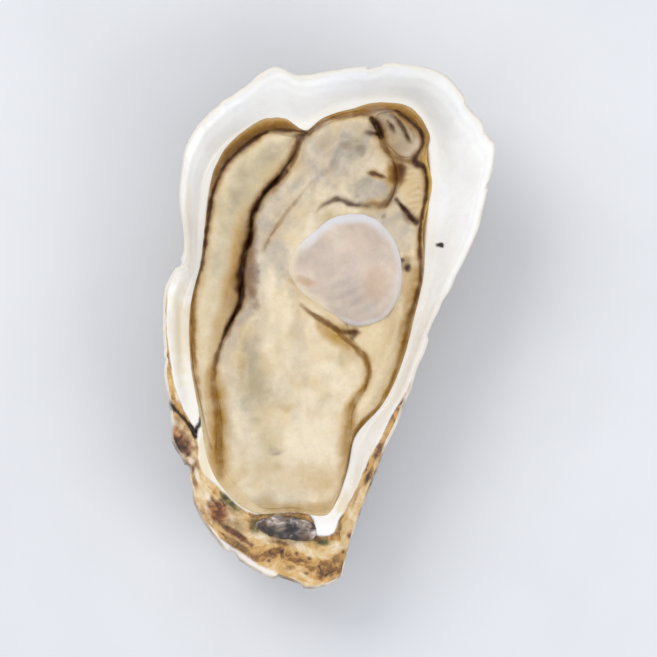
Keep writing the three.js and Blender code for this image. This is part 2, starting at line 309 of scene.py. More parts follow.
def outside_points(grown, raised):
    """A row of points on the outside: its share of the way out, and how far it stands off."""
    points = mix(UMBO, OUTLINE, grown[:, None])
    angle = bearing(points)
    rim_reach, rim_height = rim_at(angle)
    share = np.minimum(0.985, reach(points) / rim_reach)
    fade = np.minimum(1, (1 - share) * rim_reach / 3.5)
    pleat = PLEAT_HEIGHT * np.sin(PLEATS * angle) * share
    slope = -1.35 * (1 - share**2)
    outward = np.stack([np.cos(angle), np.sin(angle), slope], axis=1)
    outward /= np.linalg.norm(outward, axis=1)[:, None]
    level = outward[:, :2] / np.hypot(*outward[:, :2].T)[:, None]
    points[:, :2] = CENTRE[:2] + level * (share * rim_reach)[:, None]
    points[:, 2] = underside(share, rim_height, angle)
    grain = 0.22 * rough(points, 2.6, 4, seed=7)
    points += outward * ((raised + pleat + grain) * fade)[:, None]
    points[:, 2] = np.minimum(points[:, 2], floor_height(points) - 0.9)
    points[:, 2] = np.maximum(points[:, 2], 0)
    return points


def floor_height(points):
    """Height of the smooth inside of the shell under any point in plan."""
    angle, distance = bearing(points), reach(points)
    rim_reach, rim_height = rim_at(angle)
    mouth_reach, mouth_height = mouth_at(angle)
    edge = rim_reach - EDGE_BEVEL
    along = np.clip((edge - distance) / (edge - mouth_reach), 0, 1)
    fall = mix(along ** mix(1.9, 1.25, lip_share(angle)), step(0, 1, along), along)
    lip = mix(rim_height, mouth_height, fall)
    inward = np.clip((mouth_reach - distance) / LEDGE, 0, 1)
    share = np.minimum(distance / (mouth_reach - LEDGE), 1)
    cup = mix(mouth_height - 0.35 * inward**1.5, CUP_FLOOR, (1 - share**2.3) ** 0.88)
    return np.where(distance > mouth_reach, lip, cup)


def inside_rows():
    """Rows of points over the inside, from the rim down to the ring round the cup's middle."""
    angle = bearing(OUTLINE)
    mouth_reach, _ = mouth_at(angle)
    edge = reach(OUTLINE) - EDGE_BEVEL
    heading = np.stack([np.cos(angle), np.sin(angle)], axis=1)
    rows = []
    stops = [mix(edge, mouth_reach, t) for t in np.linspace(0, 1, 60) ** 1.15]
    stops += [mouth_reach - inward for inward in np.linspace(0, 1.2 * LEDGE, 9)[1:]]
    stops += [stops[-1] * share for share in np.linspace(1, 0, 13)[1:-1]]
    for distance in stops:
        points = np.empty((COLUMNS, 3))
        points[:, :2] = CENTRE[:2] + heading * distance[:, None]
        points[:, 2] = floor_height(points)
        rows.append(points)
    return rows


# Where the white inside ends and the tan outer layers of the shell show, down the left side, round the
# beak and up the right side. Elsewhere it ends just inside the rim.
NACRE_EDGE = [
    (-28.6, 16.5), (-29.4, 14), (-31.5, 10), (-32.1, 5), (-32, 0), (-31.6, -6), (-30.6, -11),
    (-29.4, -15), (-27.2, -19.5), (-26.1, -23), (-25.7, -26.8), (-24.4, -29.6), (-22.4, -31.6),
    (-20, -33.8), (-17.4, -36.1), (-14.6, -37.1), (-11.4, -36.7), (-6, -36.8), (-4, -37.2), (-3, -38.6),
    (-2.4, -41.2), (0.8, -41.2), (1.8, -38.4), (3.9, -34.8), (6.2, -30), (8.6, -25), (11.4, -19.4),
    (13.9, -14.8), (16.8, -9.8), (19.1, -4.8), (20.4, -1.5),
]


def white_loop():
    """The whole edge of the white inside, counterclockwise from the left side."""
    angle = bearing(OUTLINE)
    low, high = bearing(np.array(NACRE_EDGE)[[0, -1]])
    rest = OUTLINE[(angle > high) & (angle < low), :2]
    rest = rest[np.argsort(bearing(rest))][::4]
    rest = rest - (CENTRE[:2] - rest) / reach(rest)[:, None] * 0.8
    return np.concatenate([smooth(NACRE_EDGE, 130, closed=False), rest])


# ---------------------------------------------------------------- meshes


def make_mesh(name, points, faces, marks, material):
    """A smooth mesh object from points in millimetres, with a number for each point under each mark."""
    mesh = bpy.data.meshes.new(name)
    mesh.from_pydata(np.asarray(points) * 0.001, [], faces)
    mesh.validate()
    for mark, values in marks.items():
        layer = mesh.attributes.new(mark, "FLOAT", "POINT")
        layer.data.foreach_set("value", np.asarray(values, np.float32))
    mesh.shade_smooth()
    piece = bpy.data.objects.new(name, mesh)
    bpy.context.scene.collection.objects.link(piece)
    mesh.materials.append(material)
    return piece


def skin(rows, bottom=None, top=None):
    """Points and faces of a skin over closed rows, shut by a point below the first and over the last."""
    rows = np.asarray(rows)
    count, width = rows.shape[:2]
    index = np.arange(count * width).reshape(count, width)
    beside = np.roll(index, -1, axis=1)
    quads = np.stack([index[:-1], beside[:-1], beside[1:], index[1:]], axis=-1).reshape(-1, 4)
    points = rows.reshape(-1, 3)
    faces = quads.tolist()
    for cap, ring, turn in ((bottom, 0, -1), (top, -1, 1)):
        if cap is None:
            continue
        points = np.concatenate([points, [cap]])
        pole = len(points) - 1
        pairs = zip(index[ring].tolist(), beside[ring].tolist())
        faces += [[a, b, pole][::turn] for a, b in pairs]
    return points, faces


def dress(piece, node):
    """The piece stands for its node of the solid model."""
    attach(piece, "root")
    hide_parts(node)
    return piece


# ---------------------------------------------------------------- colours


def linear(code):
    """The linear colour of a hex code."""
    levels = [int(code[k : k + 2], 16) / 255 for k in (1, 3, 5)]
    return [*(c / 12.92 if c <= 0.04045 else ((c + 0.055) / 1.055) ** 2.4 for c in levels), 1]


class Paint:
    """A material, built up node by node."""

    def __init__(self, name, **settings):
        self.material = bpy.data.materials.new(name)
        self.material.use_nodes = True
        self.tree = self.material.node_tree
        self.shader = self.tree.nodes["Principled BSDF"]
        for key, value in settings.items():
            self.shader.inputs[key.replace("_", " ")].default_value = value
        self.place = self.tree.nodes.new("ShaderNodeTexCoord").outputs["Object"]

    def put(self, socket, value):
        """Links the value to the socket if it is one itself, and otherwise sets it."""
        if isinstance(value, bpy.types.NodeSocket):
            self.tree.links.new(value, socket)
        else:
            socket.default_value = value

    def mark(self, name):
        node = self.tree.nodes.new("ShaderNodeAttribute")
        node.attribute_name = name
        return node.outputs["Fac"]

    def lumps(self, size, detail=4, stretch=(1, 1, 1), roughness=0.55, distortion=0.0):
        """Noise with lumps of that size in millimetres, drawn out along the axes by stretch."""
        mapping = self.tree.nodes.new("ShaderNodeMapping")
        mapping.inputs["Scale"].default_value = [1000 / size / s for s in stretch]
        self.put(mapping.inputs["Vector"], self.place)
        node = self.tree.nodes.new("ShaderNodeTexNoise")
        node.inputs["Scale"].default_value = 1
        node.inputs["Detail"].default_value = detail
        node.inputs["Roughness"].default_value = roughness
        node.inputs["Distortion"].default_value = distortion
        self.put(node.inputs["Vector"], mapping.outputs["Vector"])
        return node.outputs["Fac"]

    def ramp(self, value, *stops):
        """Stops are (place, hex colour) or (place, number)."""
        node = self.tree.nodes.new("ShaderNodeValToRGB")
        self.put(node.inputs["Fac"], value)
        elements = node.color_ramp.elements
        while len(elements) < len(stops):
            elements.new(0.5)
        for element, (place, colour) in zip(elements, stops):
            element.position = place
            element.color = linear(colour) if isinstance(colour, str) else [colour] * 3 + [1]
        return node.outputs["Color"]

    def blend(self, share, a, b):
        """The colour a, mixed with that share of b."""
        node = self.tree.nodes.new("ShaderNodeMix")
        node.data_type = "RGBA"
        self.put(node.inputs["Factor"], share)
        for socket, value in ((node.inputs[6], a), (node.inputs[7], b)):
            self.put(socket, linear(value) if isinstance(value, str) else value)
        return node.outputs[2]

    def times(self, a, b):
        return self.maths("MULTIPLY", a, b)

    def maths(self, how, a, b):
        node = self.tree.nodes.new("ShaderNodeMath")
        node.operation = how
        self.put(node.inputs[0], a)
        self.put(node.inputs[1], b)
        return node.outputs[0]

    def bump(self, height, distance, normal=None):
        """Relief of that height in millimetres."""
        node = self.tree.nodes.new("ShaderNodeBump")
        node.inputs["Distance"].default_value = distance * 0.001
        self.put(node.inputs["Height"], height)
        if normal:
            self.put(node.inputs["Normal"], normal)
        return node.outputs["Normal"]

    def finish(self, colour, normal=None, roughness=None):
        self.put(self.shader.inputs["Base Color"], colour)
        if normal:
            self.put(self.shader.inputs["Normal"], normal)
        if roughness:
            self.put(self.shader.inputs["Roughness"], roughness)
        return self.material


def flesh(name, light="#e5d6bb", deep="#d6c19c", **colours):
    """Wet meat with painted highlights. Its marks say where it is greyish, greenish, pale, tan, brown or
    nearly black, in places as painted shade.
    """
    paint = Paint(name, Roughness=0.48, IOR=1.35, Subsurface_Weight=0.2, Subsurface_Scale=0.0015)
    paint.shader.inputs["Coat Weight"].default_value = 0.18
    paint.shader.inputs["Coat Roughness"].default_value = 0.2
    paint.shader.inputs["Specular IOR Level"].default_value = 0.25
    paint.shader.inputs["Subsurface Radius"].default_value = (1.0, 0.7, 0.45)
    tints = {
        "grey": "#9d9590", "green": "#968c6c", "pale": "#d3d3d9", "tan": "#ad8538", "brown": "#643d16",
        "dark": "#331808",
    } | colours
    deeper = paint.ramp(paint.lumps(9, 4, distortion=0.5), (0.38, 0.0), (0.64, 1.0))
    colour = paint.blend(deeper, light, deep)
    specks = paint.ramp(paint.lumps(1.6, 2.5, distortion=0.4), (0.5, 0.0), (0.8, 0.3))
    colour = paint.blend(specks, colour, "#bda989")
    # Painted highlights: pale cream patches that stand in for wet glints.
    painted_highlights = paint.ramp(paint.lumps(2.8, 3), (0.55, 0.0), (0.75, 0.3))
    colour = paint.blend(painted_highlights, colour, "#efe4cf")
    uneven = paint.ramp(paint.lumps(1.6, 2), (0.32, 0.86), (0.62, 1.0))
    mottled = paint.ramp(paint.lumps(3.4, 3, distortion=0.5), (0.34, 0.5), (0.64, 1.0))
    for mark in dict.fromkeys([*colours, *MARKS]):
        share = paint.maths("POWER", paint.mark(mark), 0.8)
        if mark in ("tan", "brown"):
            share = paint.times(share, uneven)
        if mark in ("grey", "green"):
            share = paint.times(share, mottled)
        colour = paint.blend(share, colour, tints[mark])
    normal = paint.bump(paint.lumps(0.6, 4), 0.08)
    normal = paint.bump(paint.lumps(2.4, 3), 0.24, normal)
    return paint.finish(colour, normal)


def nacre():
    """The smooth inside of the shell, and the tan, brown and mossy layers round the beak."""
    paint = Paint("nacre", Roughness=0.3, Coat_Weight=0.25, Coat_Roughness=0.15)
    cloud = paint.lumps(11, 4)
    white = paint.ramp(cloud, (0.3, "#ebe8e5"), (0.5, "#f1f0ee"), (0.7, "#f1f1f4"))
    white = paint.blend(paint.ramp(paint.lumps(2.2, 4), (0.5, 0.0), (0.8, 0.3)), white, "#dedad7")
    white = paint.blend(paint.mark("cream"), white, "#e4d7be")
    streak = paint.lumps(2.4, 6, roughness=0.68, distortion=0.9)
    layer = paint.maths("ADD", paint.times(streak, 0.7), paint.times(paint.mark("layer"), 0.3))
    horn = paint.ramp(
        layer,
        (0.27, "#4b2f17"), (0.36, "#8a5f2e"), (0.44, "#bd8f4f"),
        (0.53, "#cfa86c"), (0.63, "#d9bc8d"), (0.76, "#e9dcc4"),
    )
    colour = paint.blend(paint.mark("horn"), white, horn)
    rust = paint.ramp(layer, (0.38, "#120a06"), (0.5, "#33190d"), (0.6, "#6e3b1b"), (0.72, "#b5763f"))
    colour = paint.blend(paint.mark("rust"), colour, rust)
    moss = paint.ramp(streak, (0.36, "#1f1f0e"), (0.5, "#4f4c24"), (0.64, "#8c7d43"), (0.75, "#b7a56c"))
    colour = paint.blend(paint.mark("moss"), colour, moss)
    colour = paint.blend(paint.mark("dark"), colour, "#24130b")
    roughness = paint.maths("ADD", paint.times(paint.mark("horn"), 0.3), 0.3)
    normal = paint.bump(paint.lumps(1.6, 5), 0.07)
    grain = paint.blend(paint.mark("horn"), [0.5, 0.5, 0.5, 1], paint.lumps(0.7, 5))
    normal = paint.bump(grain, 0.22, normal)
    return paint.finish(colour, normal, roughness)


def crust():
    """The rough outside of the shell: flakes of chalk with paler edges, partly painted highlight, over brown
    and purple layers.
    """
    paint = Paint("crust", Roughness=0.78, Coat_Weight=0.0)
    streak = paint.lumps(4, 6, roughness=0.65, distortion=0.8)
    base = paint.ramp(
        streak, (0.3, "#3a2c27"), (0.42, "#6f5a49"), (0.52, "#a48f74"), (0.62, "#c9bca4"), (0.75, "#ddd6c8")
    )
    purple = paint.ramp(paint.lumps(12, 4), (0.5, 0.0), (0.68, 0.7))
    base = paint.blend(purple, base, "#5b4a52")
    rust = paint.ramp(paint.lumps(6, 4), (0.52, 0.0), (0.7, 0.75))
    base = paint.blend(rust, base, "#8c5a2c")
    # Chalk, with a painted highlight along the flake edges.
    base = paint.blend(paint.mark("crest"), base, "#e8e1d6")
    base = paint.blend(paint.mark("dark"), base, "#1d1612")
    normal = paint.bump(paint.lumps(0.8, 5), 0.2)
    normal = paint.bump(streak, 0.5, normal)
    return paint.finish(base, normal)


# ---------------------------------------------------------------- the shell


# Marks on the shell. Cracks: points, half width and depth. Spots: x, y, half width, half length, turn
# and strength.
CRACKS = [
    ([(-32.2, -14), (-30.5, -16.3), (-28.5, -18.4), (-26.9, -20.8), (-26.6, -21.9)], 0.5, 0.7),
    ([(-25.5, -15.6), (-25.4, -17.2), (-25.9, -19.1), (-26.7, -20.9)], 0.45, 0.4),
]
RUST = [
    (-30.1, -20.9, 1.6, 1.9, 0, 0.85),
    (-30.6, -18.4, 1.4, 1.8, 0, 0.6),
    (-29.4, -23, 2.8, 5, 18, 1.0),
    (-28, -27.5, 1.6, 2.6, 25, 1.0),
    (-26.7, -30.4, 0.7, 2.0, 10, 0.7),
    (-22.2, -36.6, 2.8, 3.4, 30, 1.0),
    (-17.6, -43.6, 3.4, 0.8, -36, 0.6),
    (-25, -36.2, 0.8, 2.4, 15, 0.5),
    (-21, -39.2, 2.6, 0.8, -40, 0.8),
    (-18.2, -41.3, 4.4, 0.9, -36, 1.0),
    (-12, -46.5, 0.55, 0.4, 0, 0.8),
    (-6.5, -45, 0.5, 0.4, 20, 0.8),
    (-2, -47.6, 0.5, 0.4, 0, 0.7),
    (-9.5, -44.6, 0.6, 0.35, 0, 0.8),
    (3, -44.6, 0.4, 0.5, 0, 0.7),
    (-4.4, -49, 0.6, 0.35, 10, 0.7),
    (0.6, -49.4, 0.5, 0.4, 0, 0.6),
    (-10, -42.8, 3, 0.7, -8, 0.7),
    (-19.6, -36.4, 2.2, 0.8, -38, 0.6),
    (10.2, -24.2, 0.8, 3.0, -27, 0.85),
    (8.2, -29.2, 0.7, 2.4, -24, 0.9),
    (5.5, -33.6, 0.4, 2.4, -20, 0.5),
    (4.2, -41.2, 0.8, 0.8, 0, 0.9),
    (17.9, -9.5, 0.5, 2.6, -27, 0.9),
    (-3.8, -46.0, 0.5, 0.45, 0, 0.9),
    (1.6, -46, 1.2, 1.2, 0, 0.5),
    (-8, -48, 1.1, 0.7, 0, 0.5),
    (-9, -37.6, 4.6, 1.0, 0, 0.35),
]
MOSS = [
    (-14.8, -39.6, 1.4, 2.0, 0, 0.85),
    (-19.6, -34.9, 3.8, 0.9, -42, 1.0),
    (-17.9, -39.4, 2.6, 1.6, -35, 0.45),
    (-1.0, -42.7, 1.9, 0.9, 0, 1.0),
    (2.3, -39.6, 0.5, 1.6, 0, 0.8),
]
CREAM = [
    (-24.6, -25, 1.6, 7, 0, 1.0),
    (-27.4, -25.6, 0.7, 1.0, 0, 1.0),
    (-28.8, -19.6, 1.2, 0.7, -35, 1.0),
    (-21, -32.5, 4, 1.4, -42, 0.5),
    (6.2, -30, 1.6, 12, -20, 0.5),
    (3.2, -34.6, 1.7, 3.2, -20, 0.95),
    (-29.9, 0, 2.2, 13, 0, 0.85),
    (-28, 21, 1.0, 9, 0, 0.6),
]
# Pale bits of shell left standing on the tan layers, the shaded flake below the cracks, and the middle
# of the black speck on the white.
PALE_FLAKES = [
    (-31.2, -18.6, 1.3, 0.8, -30, 1.0),
    (-27.6, -26.6, 0.8, 1.1, 20, 1.0),
    (-26.3, -29.2, 0.45, 1.6, 12, 1.0),
    (-30.2, -13.4, 0.6, 1.4, 10, 1.0),
    (-24.3, -33.4, 0.5, 1.3, 25, 1.0),
]
SHADED_FLAKE = [(-29.1, -23.8, 1.7, 2.6, 20, 0.85)]
SPECK = (22.2, 16.7)
# The edge of the beak that is white again, from the left side to the tip.
WHITE_EDGE = [(-25.9, -38.4), (-22.9, -42), (-18.9, -45.2), (-14.2, -48.4), (-9, -51)]


def spots(points, table, raggedness=0.5):
    """The strongest of a table's soft spots at each point."""
    amount = np.zeros(len(points))
    for *spot, strength in table:
        amount = np.maximum(amount, strength * soft_spot(points, *spot, raggedness))
    return amount


def chalk_and_edge_highlight(points, flake_crests):
    """How pale each point is: chalk with a painted highlight at the edges of the flakes, which come first
    among the points, and chalk along the rim, where it is torn near the beak."""
    count = len(flake_crests)
    patchy = np.clip(0.35 + 0.7 * rough(points[:count], 3, 3, seed=61), 0, 0.8)
    crest = np.concatenate([flake_crests * patchy, np.zeros(len(points) - count)])
    from_rim = rim_at(bearing(points))[0] - reach(points) + 0.5 * rough(points, 3, 3, seed=62)
    torn = np.clip(0.5 + 1.3 * rough(points, 4.5, 3, seed=63), 0, 1)
    beak_side = step(-0.1, -0.5, np.sin(bearing(points)))
    return np.maximum(crest, step(2.4, 0.8, from_rim) * mix(1, torn, beak_side))


def cut_cracks(top):
    """Cuts the cracks into the inside. Returns how dark each point is: in them, in the black speck and
    on the shaded flake."""
    dark = np.zeros(len(top))
    for line, width, depth in CRACKS:
        gap = nearest(top, smooth(line, 30, closed=False))[0] + 0.38 * rough(top, 1.5, 3, seed=13)
        cut = step(width, 0.2 * width, gap)
        top[:, 2] -= depth * cut
        dark = np.maximum(dark, cut)
    speck = np.hypot((top[:, 0] - SPECK[0]) / 1.25, top[:, 1] - SPECK[1]) + 0.5 * rough(top, 1.1, 3, seed=14)
    dark = np.maximum(dark, step(0.75, 0.45, speck))
    return np.maximum(dark, spots(top, SHADED_FLAKE, 0.8))


def carve_inside(top):
    """Gives the inside its terraces round the beak, low ridges and cracks, and returns its marks."""
    wobble = 0.45 * rough(top, 3.5, 4, seed=5)
    from_rim = rim_at(bearing(top))[0] - reach(top)
    beyond = -depth_in(top, white_loop()) + wobble
    pale = 0.8 * spots(top, PALE_FLAKES, 0.6)
    horn = step(-0.15, 0.3, beyond)

    terrace = (beyond + 1.7 * rough(top, 5, 4, seed=8)) / TERRACE_WIDTH
    shelf = np.floor(terrace)
    tread = terrace - shelf
    worn = 0.5 * np.abs(rough(top, 3.4, 4, seed=16))
    drop = 0.3 + 0.12 * np.maximum(shelf + step(0.6, 1.0, tread), 0) + worn
    room = np.interp(from_rim, [0, 0.6, 2.5], [0.55, 0.7, 1.3])
    top[:, 2] -= horn * np.minimum(drop, room)
    top[:, 2] += 0.2 * horn * rough(top * [1, 1, 0], 1.9, 4, seed=9)
    ridges = np.sin(2 * np.pi * (from_rim + 0.6 * rough(top, 7, 3, seed=12)) / RIDGE_SPACING)
    lumpy = 0.12 * rough(top, 7, 3, seed=11)
    top[:, 2] += (1 - horn) * (lumpy + 0.04 * ridges * step(7, 2, from_rim))

    dark = cut_cracks(top)
    white_edge = nearest(top, smooth(WHITE_EDGE, 60, closed=False))[0] + 1.1 * wobble
    round_cup = step(2.5, 0.2, reach(top) - mouth_at(bearing(top))[0])
    round_rim = step(1.5, 0.2, from_rim + 0.8 * wobble)
    return {
        "horn": horn * (1 - 0.85 * step(1.5, 0.8, white_edge)) * (1 - pale),
        "rust": spots(top, RUST) * horn * (1 - pale),
        "moss": spots(top, MOSS),
        "dark": dark,
        "cream": np.maximum(0.8 * spots(top, CREAM) + 0.3 * round_cup, np.maximum(0.6 * round_rim, pale)),
        "layer": np.clip(0.5 + 0.5 * np.sin(shelf * 7.3 + 2 * rough(top, 6, 2, seed=15)), 0, 1),
    }


def shell():
    outer, crests = outside_rows()
    base = np.array([*UMBO[:2], outer[0][:, 2].mean()])
    centre = np.array([*CENTRE[:2], CUP_FLOOR])
    points, faces = skin(np.array(outer + inside_rows()), base, centre)
    count = len(outer) * COLUMNS
    marks = {"crest": chalk_and_edge_highlight(points, np.concatenate(crests))}
    inside = np.arange(len(points)) >= count
    top = points[inside]
    for mark, values in carve_inside(top).items():
        marks[mark] = np.concatenate([np.zeros(count), values])
    points[inside] = top
    piece = make_mesh("oyster_shell", points, faces, marks, nacre())
    piece.data.materials.append(crust())
    # The second material is on the outside, the rim's edge and the fan of faces under the umbo.
    slots = np.array([max(face[:3]) < count + COLUMNS for face in faces], int)
    slots[-2 * COLUMNS :] = np.repeat([1, 0], COLUMNS)
    piece.data.polygons.foreach_set("material_index", slots)
    return dress(piece, "shell")


# ---------------------------------------------------------------- the meat


MARKS = ("grey", "green", "pale", "tan", "brown", "dark")
# The softer mark round a stroke's core, and its share.
HALO = {"dark": ("brown", 0.9), "brown": ("tan", 0.75)}

